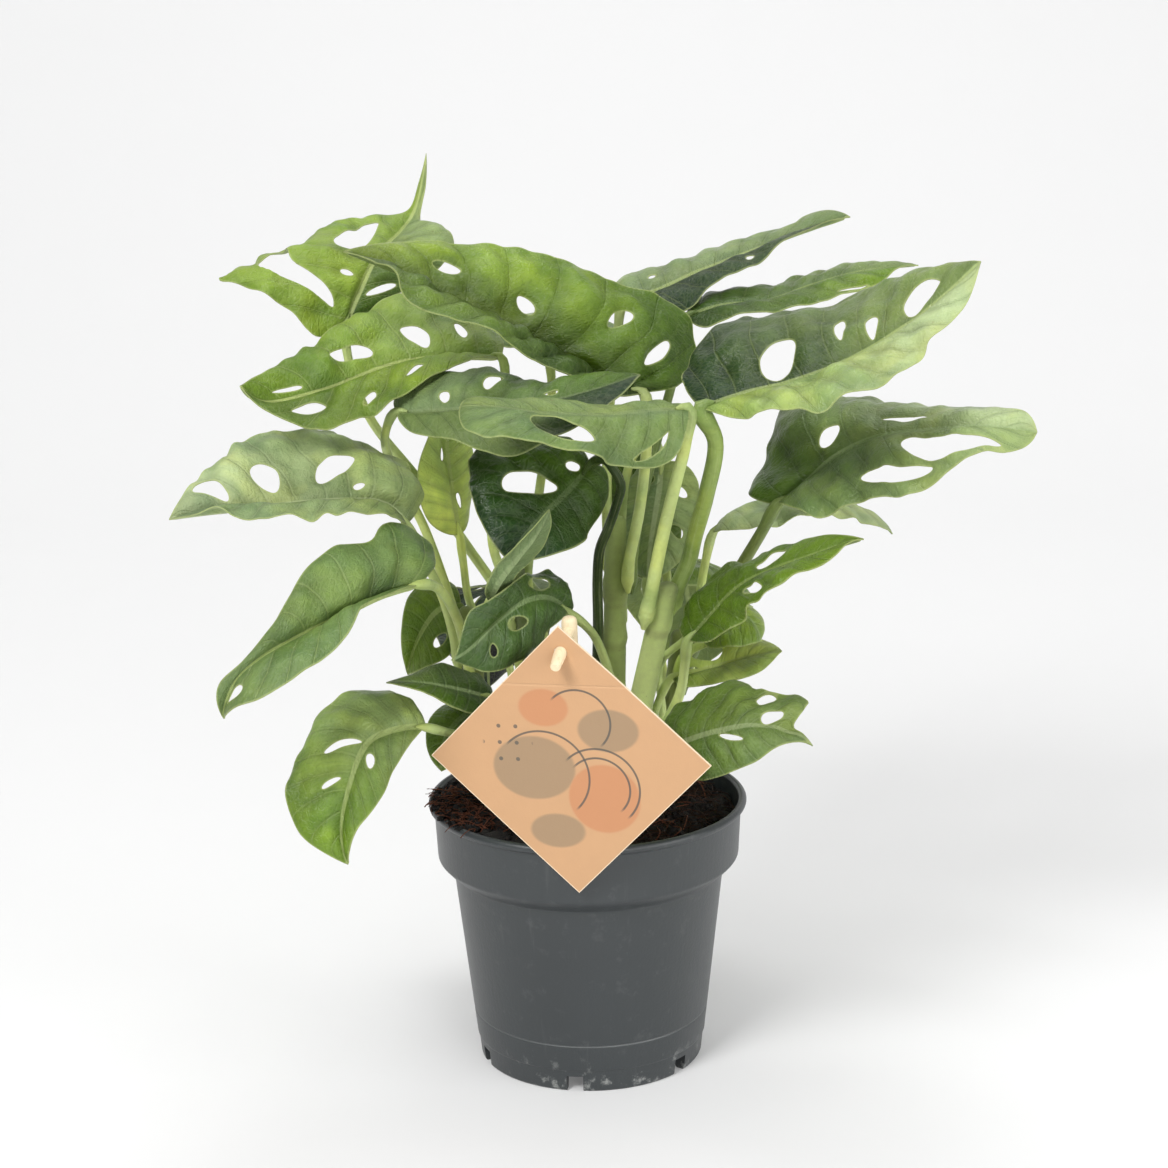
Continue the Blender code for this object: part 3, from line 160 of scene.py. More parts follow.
def at(line, shares):
    """The points of an evenly spaced line at shares of its length."""
    place = np.clip(shares, 0, 1) * (len(line) - 1)
    low = np.minimum(np.asarray(place).astype(int), len(line) - 2)
    part = np.asarray(place - low)[..., None]
    return line[low] + (line[low + 1] - line[low]) * part


def span(line):
    return np.linalg.norm(np.diff(line, axis=0), axis=1).sum()


def soft_step(values, low, high):
    """Nought below low, one above high and a smooth rise between them."""
    x = np.clip((values - low) / (high - low), 0, 1)
    return x * x * (3 - 2 * x)


# %% [markdown]
# ## Small tools for materials
# A node tree in code is easier to read when a socket can be given either a number or the output of
# another node. `add_node` does that, and the few functions after it are the steps that are used
# again and again: arithmetic, a soft threshold, a mix of two colours and layered noise. `paint`
# lays a tone over a colour by a mask, and `tinged` multiplies the colour there instead.

# %% Node helpers
def add_node(tree, kind, values=None, **settings):
    item = tree.nodes.new(kind)
    for key, value in settings.items():
        setattr(item, key, value)
    for socket, value in (values or {}).items():
        if isinstance(value, bpy.types.NodeSocket):
            tree.links.new(value, item.inputs[socket])
        else:
            item.inputs[socket].default_value = value
    return item


def maths(tree, operation, *values):
    item = add_node(tree, "ShaderNodeMath", dict(enumerate(values)), operation=operation)
    return item.outputs[0]


def times(tree, first, second):
    return maths(tree, "MULTIPLY", first, second)


def times_plus(tree, value, gain, more):
    return maths(tree, "MULTIPLY_ADD", value, gain, more)


def threshold(tree, value, low, high):
    """Nought below low, one above high, smooth between; low may be above high to turn it round."""
    values = {0: value, 1: low, 2: high, 3: 0.0, 4: 1.0}
    item = add_node(tree, "ShaderNodeMapRange", values, interpolation_type="SMOOTHSTEP")
    return item.outputs[0]


def between(tree, share, first, second, blend="MIX"):
    """Mix two colours; each is a socket or a linear colour."""
    def full(colour):
        return colour if isinstance(colour, bpy.types.NodeSocket) else (*colour, 1.0)
    values = {0: share, 6: full(first), 7: full(second)}
    item = add_node(tree, "ShaderNodeMix", values, data_type="RGBA", blend_type=blend)
    return item.outputs[2]


def paint(tree, base, tone, mask, share):
    """Lay a tone over the base where the mask is one, as strongly as the share says."""
    return between(tree, times(tree, mask, share), base, tone)


def tinged(tree, base, factor, mask, share):
    """Multiply the base by a factor where the mask is one, as strongly as the share says."""
    return paint(tree, base, between(tree, 1.0, base, factor, "MULTIPLY"), mask, share)


def clouds(tree, vector, scale, detail=3.0, roughness=0.55):
    values = {"Vector": vector, "Scale": scale, "Detail": detail, "Roughness": roughness}
    return add_node(tree, "ShaderNodeTexNoise", values).outputs[0]


def stretched(tree, vector, scale):
    """The vector with each axis scaled, so that a pattern runs long one way."""
    values = {"Vector": vector, "Scale": scale}
    return add_node(tree, "ShaderNodeMapping", values, vector_type="POINT").outputs[0]


def stored(tree, name, output="Fac"):
    item = add_node(tree, "ShaderNodeAttribute", attribute_name=name)
    return item.outputs[output]


def new_material(name):
    material = bpy.data.materials.new(name)
    material.use_nodes = True
    tree = material.node_tree
    shader = tree.nodes["Principled BSDF"]
    place = add_node(tree, "ShaderNodeTexCoord").outputs["Object"]
    return material, tree, shader, place


def finish_skin(tree, shader, colour, rough, height, distance):
    """Join colour, roughness and a bump of the given depth in metres to the shader."""
    bump = add_node(tree, "ShaderNodeBump", {"Height": height, "Distance": distance, "Strength": 1.0})
    tree.links.new(colour, shader.inputs["Base Color"])
    tree.links.new(rough, shader.inputs["Roughness"])
    tree.links.new(bump.outputs[0], shader.inputs["Normal"])


def new_group(name, inputs, outputs):
    """A node group with named float, vector or colour sockets."""
    group = bpy.data.node_groups.new(name, "ShaderNodeTree")
    for label, kind, value in inputs:
        socket = group.interface.new_socket(label, in_out="INPUT", socket_type="NodeSocket" + kind)
        if value is not None:
            socket.default_value = value
    for label, kind in outputs:
        group.interface.new_socket(label, in_out="OUTPUT", socket_type="NodeSocket" + kind)
    return group, group.nodes.new("NodeGroupInput"), group.nodes.new("NodeGroupOutput")


# %% [markdown]
# ## Effects that several materials share
# A thin line along a known distance serves the veins, the printed arcs and the ring on the pot. Mottling
# varies a colour a little at two scales, as nothing that grew or was handled is even. Both are node groups
# with named inputs, so every material can give them its own sizes.

# %% Shared groups
FINE_RATIO = 6.3
BROAD_SHARE = 0.6
MOTTLE_GAIN = 4.0


def line_group():
    sockets = [("Distance", "Float", 0.0), ("Half width", "Float", 0.5), ("Softness", "Float", 0.4)]
    group, ins, outs = new_group("soft line", sockets, [("Mask", "Float")])
    away = maths(group, "ABSOLUTE", ins.outputs["Distance"])
    outer = maths(group, "ADD", ins.outputs["Half width"], ins.outputs["Softness"])
    mask = threshold(group, away, outer, ins.outputs["Half width"])
    group.links.new(mask, outs.inputs["Mask"])
    return group


def mottle_group():
    sockets = [("Colour", "Color", None), ("Vector", "Vector", None), ("Scale", "Float", 60.0)]
    sockets += [("Strength", "Float", 0.2)]
    group, ins, outs = new_group("mottling", sockets, [("Colour", "Color"), ("Cloud", "Float")])
    broad = clouds(group, ins.outputs["Vector"], ins.outputs["Scale"])
    fine_scale = times(group, ins.outputs["Scale"], FINE_RATIO)
    fine = clouds(group, ins.outputs["Vector"], fine_scale, 2.0)
    part = times(group, broad, BROAD_SHARE)
    both = times_plus(group, fine, 1 - BROAD_SHARE, part)
    centred = times(group, maths(group, "SUBTRACT", both, 0.5), MOTTLE_GAIN)
    gain = times_plus(group, centred, ins.outputs["Strength"], 1.0)
    grey = add_node(group, "ShaderNodeCombineColor", {0: gain, 1: gain, 2: gain}).outputs[0]
    colour = between(group, 1.0, ins.outputs["Colour"], grey, "MULTIPLY")
    group.links.new(colour, outs.inputs["Colour"])
    group.links.new(both, outs.inputs["Cloud"])
    return group


LINE = line_group()
MOTTLE = mottle_group()


def soft_line(tree, distance, half_width, softness):
    values = {"Distance": distance, "Half width": half_width, "Softness": softness}
    return add_node(tree, "ShaderNodeGroup", values, node_tree=LINE).outputs["Mask"]


def mottled(tree, colour, vector, scale, strength):
    if not isinstance(colour, bpy.types.NodeSocket):
        colour = (*colour, 1.0)
    values = {"Colour": colour, "Vector": vector, "Scale": scale, "Strength": strength}
    item = add_node(tree, "ShaderNodeGroup", values, node_tree=MOTTLE)
    return item.outputs["Colour"], item.outputs["Cloud"]


print("shared groups:", LINE.name, "and", MOTTLE.name)


# %% [markdown]
# ## The pot
# A nursery pot is moulded in one thin wall: a deep collar under a rolled rim, a tapering
# body, and a foot ring with notches that let water run away. Turning one closed profile round the
# axis gives the wall its real thickness. The rounded corners come from short arcs in the profile,
# and one Boolean cuts the notches and drain holes, as the tool's cores do.

# %% Pot shape
POT_HEIGHT = 102.2
RIM_RADIUS = 60.0
LIP_WIDTH = 2.2
COLLAR_TOP_RADIUS = 57.8
COLLAR_FOOT_RADIUS = 56.8
COLLAR_FOOT_Z = 80.0
SHOULDER_RADIUS = 51.0
SHOULDER_Z = 74.5
FOOT_RADIUS = 42.3
FOOT_STEP_Z = 9.0
FOOT_STEP_RADIUS = 43.6
WALL = 1.3
FLOOR_UNDER_Z = 6.8
FLOOR_TOP_Z = 8.4
FOOT_RING_WIDTH = 4.0
CENTRE_PAD_RADIUS = 13.0
RING_MARK_Z = 19.0
NOTCH_COUNT = 6
NOTCH_WIDTH = 6.2
NOTCH_HEIGHT = 6.2
NOTCH_FIRST_ANGLE = -8.7
NOTCH_OVERCUT = 3
DRAIN_OVERCUT = 2
DRAIN_SIDES = 24
DRAIN_RADIUS = 3.0
DRAIN_RING_RADIUS = 27.0
POT_SIDES = 160
POT_SHARP = 35
RING_DEPTH = 0.35
RING_HALF = 0.5


def rounded(profile, radius=0.7, steps=3):
    """The profile with each corner between two long runs replaced by a short arc."""
    soft = [profile[0]]
    for before, corner, after in zip(profile[:-2], profile[1:-1], profile[2:]):
        before, corner, after = (np.array(p, float) for p in (before, corner, after))
        start, end = before - corner, after - corner
        reach = min(radius, 0.4 * np.linalg.norm(start), 0.4 * np.linalg.norm(end))
        start = corner + start / np.linalg.norm(start) * reach
        end = corner + end / np.linalg.norm(end) * reach
        for t in np.linspace(0, 1, steps + 1):
            soft.append(tuple((1 - t)**2 * start + 2 * t * (1 - t) * corner + t * t * end))
    return soft + [profile[-1]]


def body_radius(z):
    """Radius of the tapering body at a height."""
    share = (z - FOOT_STEP_Z) / (SHOULDER_Z - FOOT_STEP_Z)
    return FOOT_STEP_RADIUS + share * (SHOULDER_RADIUS - FOOT_STEP_RADIUS)


def ring_mark(shift, depth=0.0):
    """A point of the body's profile near the ring mark."""
    z = RING_MARK_Z + shift
    return (body_radius(z) - depth, z)


def pot_profile():
    inner_foot = FOOT_RADIUS - FOOT_RING_WIDTH
    foot = [(0, 0), (CENTRE_PAD_RADIUS, 0), (CENTRE_PAD_RADIUS + 3, FLOOR_UNDER_Z)]
    foot += [(inner_foot - 1.5, FLOOR_UNDER_Z), (inner_foot, 0), (FOOT_RADIUS - 0.6, 0)]
    foot += [(FOOT_RADIUS, 0.8), (FOOT_STEP_RADIUS - 0.5, FOOT_STEP_Z - 0.6)]
    body = [(body_radius(FOOT_STEP_Z), FOOT_STEP_Z), ring_mark(-RING_HALF), ring_mark(0, RING_DEPTH)]
    body += [ring_mark(RING_HALF), (SHOULDER_RADIUS, SHOULDER_Z)]
    collar = [(SHOULDER_RADIUS + 3.6, COLLAR_FOOT_Z - 2.4), (COLLAR_FOOT_RADIUS, COLLAR_FOOT_Z)]
    collar += [(COLLAR_TOP_RADIUS, POT_HEIGHT - 3.6), (RIM_RADIUS - 0.4, POT_HEIGHT - 2.8)]
    rim = [(RIM_RADIUS, POT_HEIGHT - 1.5), (RIM_RADIUS - 0.7, POT_HEIGHT - 0.2)]
    rim += [(RIM_RADIUS - LIP_WIDTH, POT_HEIGHT), (RIM_RADIUS - LIP_WIDTH - 1.0, POT_HEIGHT - 1.0)]
    inside = [(COLLAR_FOOT_RADIUS - WALL, COLLAR_FOOT_Z + 0.8), (SHOULDER_RADIUS - WALL, SHOULDER_Z + 0.6)]
    inside += [(FOOT_STEP_RADIUS - WALL, FLOOR_TOP_Z), (0, FLOOR_TOP_Z)]
    return rounded(foot + body + collar + rim + inside)


# %% [markdown]
# ## Turning and cutting
# Turning a profile gives one ring of points for each of its corners, and a single point where it
# meets the axis, so the body is closed. The cutting tools are real bodies that reach a little past
# the wall, because a Boolean is only sure where surfaces cross.

# %% Turn and cut
def turned(profile, sides):
    """Turn a closed profile of (radius, z) pairs whose ends lie on the axis."""
    turn = np.arange(sides) * 2 * math.pi / sides
    points = [np.array([[0, 0, profile[0][1]]])]
    for radius, z in profile[1:-1]:
        level = np.full(sides, z)
        points.append(np.stack([radius * np.cos(turn), radius * np.sin(turn), level], axis=1))
    points.append(np.array([[0, 0, profile[-1][1]]]))
    top = 1 + (len(profile) - 2) * sides
    faces = []
    for i in range(sides):
        j = (i + 1) % sides
        faces.append((0, 1 + j, 1 + i))
        for row in range(len(profile) - 3):
            low = 1 + row * sides
            faces.append((low + i, low + j, low + sides + j, low + sides + i))
        last = top - sides
        faces.append((last + i, last + j, top))
    return np.concatenate(points), faces


def cut_away(target, tools):
    """One exact Boolean takes the tools out of the target; then the tools are deleted."""
    holder = bpy.data.collections.new("cutting tools")
    bpy.context.scene.collection.children.link(holder)
    for tool in tools:
        bpy.context.collection.objects.unlink(tool)
        holder.objects.link(tool)
    cut = target.modifiers.new("cut", "BOOLEAN")
    cut.operation = "DIFFERENCE"
    cut.solver = "EXACT"
    cut.operand_type = "COLLECTION"
    cut.collection = holder
    evaluated = target.evaluated_get(bpy.context.evaluated_depsgraph_get())
    target.data = bpy.data.meshes.new_from_object(evaluated)
    target.modifiers.clear()
    for tool in tools:
        bpy.data.objects.remove(tool, do_unlink=True)
    bpy.data.collections.remove(holder)


# %% [markdown]
# ## Moulded grey plastic
# The pot is dark grey with a cool cast. Its sides carry faint upright scuffs from stacking, and a pale
# chalky bloom dries on near the foot where water has run, with faint patches of it higher up. Roughness
# follows the same masks, so the gloss breaks up where the plastic is worn.

# %% Pot material and piece
PLASTIC_TONE = linear(43, 48, 50)
CHALK_TONE = linear(190, 192, 188)
RING_TONE = linear(140, 144, 142)
PLASTIC_ROUGHNESS = 0.34


def pot_plastic():
    material, tree, shader, place = new_material("pot_plastic")
    grey, cloud = mottled(tree, PLASTIC_TONE, place, 22.0, 0.07)
    upright = stretched(tree, place, (260.0, 260.0, 14.0))
    streaks = threshold(tree, clouds(tree, upright, 1.0, 4.0, 0.6), 0.60, 0.80)
    height = add_node(tree, "ShaderNodeSeparateXYZ", {0: place}).outputs[2]
    low = threshold(tree, height, 0.016, 0.002)
    patches = threshold(tree, clouds(tree, place, 160.0, 5.0, 0.7), 0.55, 0.70)
    bloom = times(tree, times_plus(tree, low, 0.42, 0.03), patches)
    worn = times_plus(tree, streaks, 0.05, bloom)
    colour = between(tree, worn, grey, CHALK_TONE)
    ring = soft_line(tree, maths(tree, "SUBTRACT", height, RING_MARK_Z * MM), 0.0002, 0.0003)
    colour = paint(tree, colour, RING_TONE, ring, 0.22)
    rough = times_plus(tree, cloud, 0.12, PLASTIC_ROUGHNESS)
    rough = times_plus(tree, worn, 0.5, rough)
    shader.inputs["Specular IOR Level"].default_value = 0.7
    grain = clouds(tree, place, 900.0, 3.0)
    scratches = clouds(tree, upright, 2.5, 3.0)
    height = times_plus(tree, scratches, 0.6, grain)
    finish_skin(tree, shader, colour, rough, height, 0.00008)
    return material


def make_pot(material):
    points, faces = turned(pot_profile(), POT_SIDES)
    pot = add_piece("nursery_pot", points, faces, material, POT_SHARP)
    tools = []
    inner_foot = FOOT_RADIUS - FOOT_RING_WIDTH
    for k in range(NOTCH_COUNT):
        angle = math.radians(NOTCH_FIRST_ANGLE + k * 360 / NOTCH_COUNT - 90)
        along = np.array([math.cos(angle), math.sin(angle), 0])
        across = np.array([-along[1], along[0], 0]) * NOTCH_WIDTH / 2
        inner = (inner_foot - NOTCH_OVERCUT) * along
        outer = (FOOT_STEP_RADIUS + NOTCH_OVERCUT) * along
        corners = np.array([inner - across, outer - across, outer + across, inner + across])
        rings = [corners + (0, 0, -1), corners + (0, 0, NOTCH_HEIGHT)]
        tools.append(add_piece("notch", *loft(rings), material))
        turn = angle + math.pi / NOTCH_COUNT
        centre = np.array([math.cos(turn), math.sin(turn), 0]) * DRAIN_RING_RADIUS
        path = [centre + (0, 0, FLOOR_UNDER_Z - DRAIN_OVERCUT)]
        path += [centre + (0, 0, FLOOR_TOP_Z + DRAIN_OVERCUT)]
        drain = loft(sweep(path, [DRAIN_RADIUS] * 2, DRAIN_SIDES))
        tools.append(add_piece("drain", *drain, material))
    cut_away(pot, tools)
    pot.data.shade_smooth()
    pot.data.set_sharp_from_angle(angle=math.radians(POT_SHARP))
    dress(pot, "pot_plastic", "pot")
    return pot


pot = make_pot(pot_plastic())
print("pot faces:", len(pot.data.polygons))


# %% [markdown]
# ## The soil
# Peat and coir fill the pot to just under the rim, in a low dome with crumbs and hollows. A polar
# grid follows the packed soil's height and adds lumps from layered noise. It is a closed body
# down to the pot's floor, so no light leaks in from the drain holes.

# %% Soil body
SOIL_TOP_Z = 98.0
SOIL_DOME = 3.5
SOIL_TILT = 3.6
SOIL_LUMP = 1.1
SOIL_SIDES = 180
SOIL_ROWS = 64
SOIL_EDGE = COLLAR_TOP_RADIUS - WALL - 0.7
SOIL_INSET = 2.4
SOIL_SINK = 0.6
CRUMB_SHIFT = Vector((9, 4, 2))
ROW_CROWDING = 0.8


def soil_height(x, y):
    radius = math.hypot(x, y) / RIM_RADIUS
    dome = SOIL_DOME * (1 - radius**2)
    tilt = -SOIL_TILT * x / RIM_RADIUS
    lumps = math.sin(0.31 * x + 1.2) * math.cos(0.27 * y) + 0.6 * math.sin(0.55 * y + 0.23 * x)
    return SOIL_TOP_Z + dome + tilt + SOIL_LUMP * lumps


def crumbly_height(x, y):
    """The soil's height with crumbs: folded noise gives rounded lumps with sharp hollows."""
    place = Vector((x, y, 0))
    lumps = 1.6 * abs(noise.noise(place * 0.22))
    crumbs = 1.1 * abs(noise.noise(place * 0.55 + CRUMB_SHIFT))
    grit = 0.5 * abs(noise.noise(place * 1.3))
    return soil_height(x, y) - SOIL_SINK + (lumps + crumbs) + grit


def make_soil(material):
    turn = np.arange(SOIL_SIDES) * 2 * math.pi / SOIL_SIDES
    flat = np.stack([np.cos(turn), np.sin(turn), np.zeros(SOIL_SIDES)], axis=1)
    rings = [flat * (FOOT_STEP_RADIUS - SOIL_INSET) + (0, 0, FLOOR_TOP_Z + 0.4)]
    rings.append(flat * (SHOULDER_RADIUS - SOIL_INSET) + (0, 0, SHOULDER_Z))
    rings.append(flat * (COLLAR_FOOT_RADIUS - SOIL_INSET) + (0, 0, COLLAR_FOOT_Z + 1.5))
    for share in np.linspace(1, 0, SOIL_ROWS, endpoint=False)**ROW_CROWDING:
        ring = flat * SOIL_EDGE * share
        ring[:, 2] = [crumbly_height(x, y) for x, y, _ in ring]
        rings.append(ring)
    return add_piece("potting_soil", *loft(rings), material, 60)


# %% [markdown]
# ## Peat and coir
# Dry peat is nearly black brown with lighter flecks. The fibres are the torn husk of a coconut:
# stiff, curved and red brown. Both take their tone from noise on object coordinates, so that each
# crumb and each fibre differs a little from the next.

# %% Soil materials
PEAT_TONE = linear(16, 11, 9)
FLECK_TONE = linear(78, 48, 32)


def peat():
    material, tree, shader, place = new_material("peat")
    dark, cloud = mottled(tree, PEAT_TONE, place, 120.0, 0.45)
    flecks = threshold(tree, clouds(tree, place, 620.0, 4.0, 0.7), 0.60, 0.72)
    colour = paint(tree, dark, FLECK_TONE, flecks, 0.40)
    rough = times_plus(tree, cloud, -0.25, 1.0)
    finish_skin(tree, shader, colour, rough, clouds(tree, place, 420.0, 6.0, 0.7), 0.0011)
    return material


def coir(name, tone):
    material, tree, shader, place = new_material(name)
    shader.inputs["Specular IOR Level"].default_value = 0.2
    brown, cloud = mottled(tree, tone, place, 160.0, 0.55)
    rough = times_plus(tree, cloud, 0.2, 0.65)
    finish_skin(tree, shader, brown, rough, clouds(tree, place, 1500.0, 2.0), 0.0001)
    return material


soil = make_soil(peat())
dress(soil, "soil", "soil")
print("soil faces:", len(soil.data.polygons))


# %% [markdown]
# ## Loose fibres and bark crumbs, with Geometry Nodes
# Hundreds of small things that follow a surface are work for Geometry Nodes: one tree scatters points
# over the soil, puts a short bent strand on each and turns it at random. Its sizes are inputs with
# names, its seed is fixed, and the result is turned into a plain mesh, which the export can read.

# %% Scatter trees
UPWARD = 0.35
TURN_TO = (1.0, 1.0, 6.283)
SIZE_FROM = (0.4, 0.5, 0.3)
SIZE_TO = (1.3, 1.2, 1.0)
STRAND_STEPS = 6
STRAND_SIDES = 4


def vector_maths(tree, operation, *values):
    return add_node(tree, "ShaderNodeVectorMath", dict(enumerate(values)), operation=operation)


def scatter_tree(name, make_instance, inputs):
    """A tree that scatters one small shape over the faces of a mesh that look upwards."""
    tree = bpy.data.node_groups.new(name, "GeometryNodeTree")
    face = tree.interface
    face.new_socket("Geometry", in_out="INPUT", socket_type="NodeSocketGeometry")
    for label, value in inputs.items():
        kind = "NodeSocketInt" if isinstance(value, int) else "NodeSocketFloat"
        face.new_socket(label, in_out="INPUT", socket_type=kind).default_value = value
    face.new_socket("Material", in_out="INPUT", socket_type="NodeSocketMaterial")
    face.new_socket("Geometry", in_out="OUTPUT", socket_type="NodeSocketGeometry")
    ins, outs = tree.nodes.new("NodeGroupInput"), tree.nodes.new("NodeGroupOutput")
    normal = add_node(tree, "GeometryNodeInputNormal").outputs[0]
    normal = add_node(tree, "ShaderNodeSeparateXYZ", {0: normal})
    upwards = maths(tree, "GREATER_THAN", normal.outputs[2], UPWARD)
    place = add_node(tree, "GeometryNodeInputPosition").outputs[0]
    flat = vector_maths(tree, "MULTIPLY", place, (1, 1, 0)).outputs[0]
    outward = vector_maths(tree, "LENGTH", flat).outputs["Value"]
    inside = maths(tree, "LESS_THAN", outward, ins.outputs["Reach"])
    chosen = times(tree, upwards, inside)
    values = {"Mesh": ins.outputs["Geometry"], "Selection": chosen, "Seed": ins.outputs["Seed"]}
    values["Density"] = ins.outputs["Density"]
    points = add_node(tree, "GeometryNodeDistributePointsOnFaces", values).outputs["Points"]
    values = {"Min": (-1.0, -1.0, 0.0), "Max": TURN_TO, "Seed": ins.outputs["Seed"]}
    turn = add_node(tree, "FunctionNodeRandomValue", values, data_type="FLOAT_VECTOR").outputs[0]
    values = {0: ins.outputs["Tilt"], 1: ins.outputs["Tilt"], 2: 1.0}
    tilt = add_node(tree, "ShaderNodeCombineXYZ", values).outputs[0]
    turn = vector_maths(tree, "MULTIPLY", turn, tilt).outputs[0]
    turn = add_node(tree, "FunctionNodeEulerToRotation", {0: turn}).outputs[0]
    values = {"Min": SIZE_FROM, "Max": SIZE_TO, "Seed": ins.outputs["Seed"]}
    size = add_node(tree, "FunctionNodeRandomValue", values, data_type="FLOAT_VECTOR").outputs[0]
    values = {"Points": points, "Instance": make_instance(tree, ins), "Rotation": turn, "Scale": size}
    placed = add_node(tree, "GeometryNodeInstanceOnPoints", values).outputs[0]
    solid = add_node(tree, "GeometryNodeRealizeInstances", {0: placed}).outputs[0]
    values = {"Geometry": solid, "Material": ins.outputs["Material"]}
    painted = add_node(tree, "GeometryNodeSetMaterial", values).outputs[0]
    tree.links.new(painted, outs.inputs[0])
    return tree


def fibre_shape(tree, ins):
    """A strand bent in a shallow arc, with a square section."""
    length = ins.outputs["Length"]
    half = times(tree, length, 0.5)
    start = add_node(tree, "ShaderNodeCombineXYZ", {0: times(tree, half, -1.0)}).outputs[0]
    bend = {0: 0.0, 1: times(tree, length, 0.3), 2: times(tree, length, 0.4)}
    middle = add_node(tree, "ShaderNodeCombineXYZ", bend).outputs[0]
    end = add_node(tree, "ShaderNodeCombineXYZ", {0: half}).outputs[0]
    values = {"Resolution": STRAND_STEPS, "Start": start, "Middle": middle, "End": end}
    arc = add_node(tree, "GeometryNodeCurveQuadraticBezier", values).outputs[0]
    values = {"Resolution": STRAND_SIDES, "Radius": ins.outputs["Radius"]}
    ring = add_node(tree, "GeometryNodeCurvePrimitiveCircle", values).outputs[0]
    return add_node(tree, "GeometryNodeCurveToMesh", {"Curve": arc, "Profile Curve": ring}).outputs[0]


def crumb_shape(tree, ins):
    """A flattened lump for a crumb of bark."""
    values = {"Radius": ins.outputs["Radius"], "Subdivisions": 2}
    ball = add_node(tree, "GeometryNodeMeshIcoSphere", values).outputs[0]
    place = add_node(tree, "GeometryNodeInputPosition").outputs[0]
    values = {"Vector": place, "Scale": 700.0, "Detail": 1.0}
    wobble = add_node(tree, "ShaderNodeTexNoise", values).outputs["Color"]
    centred = vector_maths(tree, "SUBTRACT", wobble, (0.5, 0.5, 0.5)).outputs[0]
    values = {0: centred, "Scale": times(tree, ins.outputs["Radius"], 2.6)}
    shift = add_node(tree, "ShaderNodeVectorMath", values, operation="SCALE").outputs[0]
    return add_node(tree, "GeometryNodeSetPosition", {"Geometry": ball, "Offset": shift}).outputs[0]


# %% [markdown]
# ## Three layers over the soil
# Short dark strands and round crumbs lie everywhere, long red ones here and there. The modifier
# runs each tree once on a copy of the soil. Lengths and radii are in metres, densities in pieces
# for each square metre, and `Reach` keeps everything inside the rim.

# %% Scatter over the soil
def scatter(name, tree, bed, material, sizes):
    """Run the tree on a copy of the bed and keep its result as a plain mesh."""
    holder = bpy.data.objects.new(name, bed.data.copy())
    bpy.context.collection.objects.link(holder)
    layer = holder.modifiers.new("scatter", "NODES")
    layer.node_group = tree
    for item in tree.interface.items_tree:
        if item.in_out == "INPUT" and item.name in sizes:
            layer[item.identifier] = sizes[item.name]
        if item.in_out == "INPUT" and item.name == "Material":
            layer[item.identifier] = material
    evaluated = holder.evaluated_get(bpy.context.evaluated_depsgraph_get())
    result = bpy.data.meshes.new_from_object(evaluated)
    holder.modifiers.clear()
    holder.data = result
    result.shade_smooth()
    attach(holder, "root")
    print(name, "faces:", len(result.polygons))
    return holder


def scatter_sizes(density, radius, tilt, reach, seed, **more):
    chosen = {"Density": density, "Radius": radius, "Tilt": tilt, "Reach": reach, "Seed": seed}
    return {**chosen, **{label.title(): value for label, value in more.items()}}


COIR = coir("coir", linear(52, 31, 21))
RED_COIR = coir("red_coir", linear(92, 54, 38))
BARK = peat()
BARK.name = "bark"
FIBRES = scatter_sizes(120000.0, 0.00017, 0.45, 0.051, 3, length=0.011)
LONG_FIBRES = scatter_sizes(15000.0, 0.00026, 0.5, 0.047, 11, length=0.016)
CRUMBS = scatter_sizes(60000.0, 0.0016, 1.2, 0.054, 5)
FIBRE_TREE = scatter_tree("coir fibres", fibre_shape, FIBRES)
CRUMB_TREE = scatter_tree("bark crumbs", crumb_shape, CRUMBS)
scatter("coir_short", FIBRE_TREE, soil, COIR, FIBRES)
scatter("coir_long", FIBRE_TREE, soil, RED_COIR, LONG_FIBRES)
scatter("bark_crumbs", CRUMB_TREE, soil, BARK, CRUMBS)


# %% [markdown]
# ## A tuft over the rim
# On the left a tuft of coir has been pushed up over the rim. A small curved patch lies where the
# tuft sits, the same two trees scatter over it, and the patch itself is thrown away afterwards.

# %% Tuft over the rim
TUFT_TURNS = 15
TUFT_RINGS = 7


def tuft_bed(first, last, inner, outer, crest):
    """A patch over the rim between two angles in degrees, highest in its middle."""
    turns = np.radians(np.linspace(first, last, TUFT_TURNS))
    points, faces = [], []
    for i, turn in enumerate(turns):
        rise = math.sin(math.pi * i / (len(turns) - 1))
        for radius in np.linspace(inner, outer, TUFT_RINGS):
            share = (radius - inner) / (outer - inner)
            height = POT_HEIGHT - 1.0 + crest * rise * (1 - share**2) + 0.8 * rise
            points.append((radius * math.cos(turn), radius * math.sin(turn), height))
    for i in range(TUFT_TURNS - 1):
        for j in range(TUFT_RINGS - 1):
            low = TUFT_RINGS * i + j
            faces.append((low, low + 1, low + TUFT_RINGS + 1, low + TUFT_RINGS))
    return add_piece("tuft_bed", points, faces, COIR)


bed = tuft_bed(first=172, last=222, inner=46.0, outer=59.5, crest=4.0)
TUFT_FIBRES = scatter_sizes(420000.0, 0.00022, 0.6, 0.0590, 21, length=0.007)
TUFT_CRUMBS = scatter_sizes(160000.0, 0.0018, 1.2, 0.0585, 8)
scatter("coir_tuft", FIBRE_TREE, bed, RED_COIR, TUFT_FIBRES)
scatter("tuft_crumbs", CRUMB_TREE, bed, BARK, TUFT_CRUMBS)
bpy.data.objects.remove(bed)


# %% [markdown]
# ## The stems
# Six short vines carry the leaves. A climbing stem is thick and pale, with a swollen ring and a scar
# at each node, where a leaf stalk leaves it, and fine corky stripes along its skin. Rings less than
# two millimetres apart follow each vine's curve and swell at its nodes.

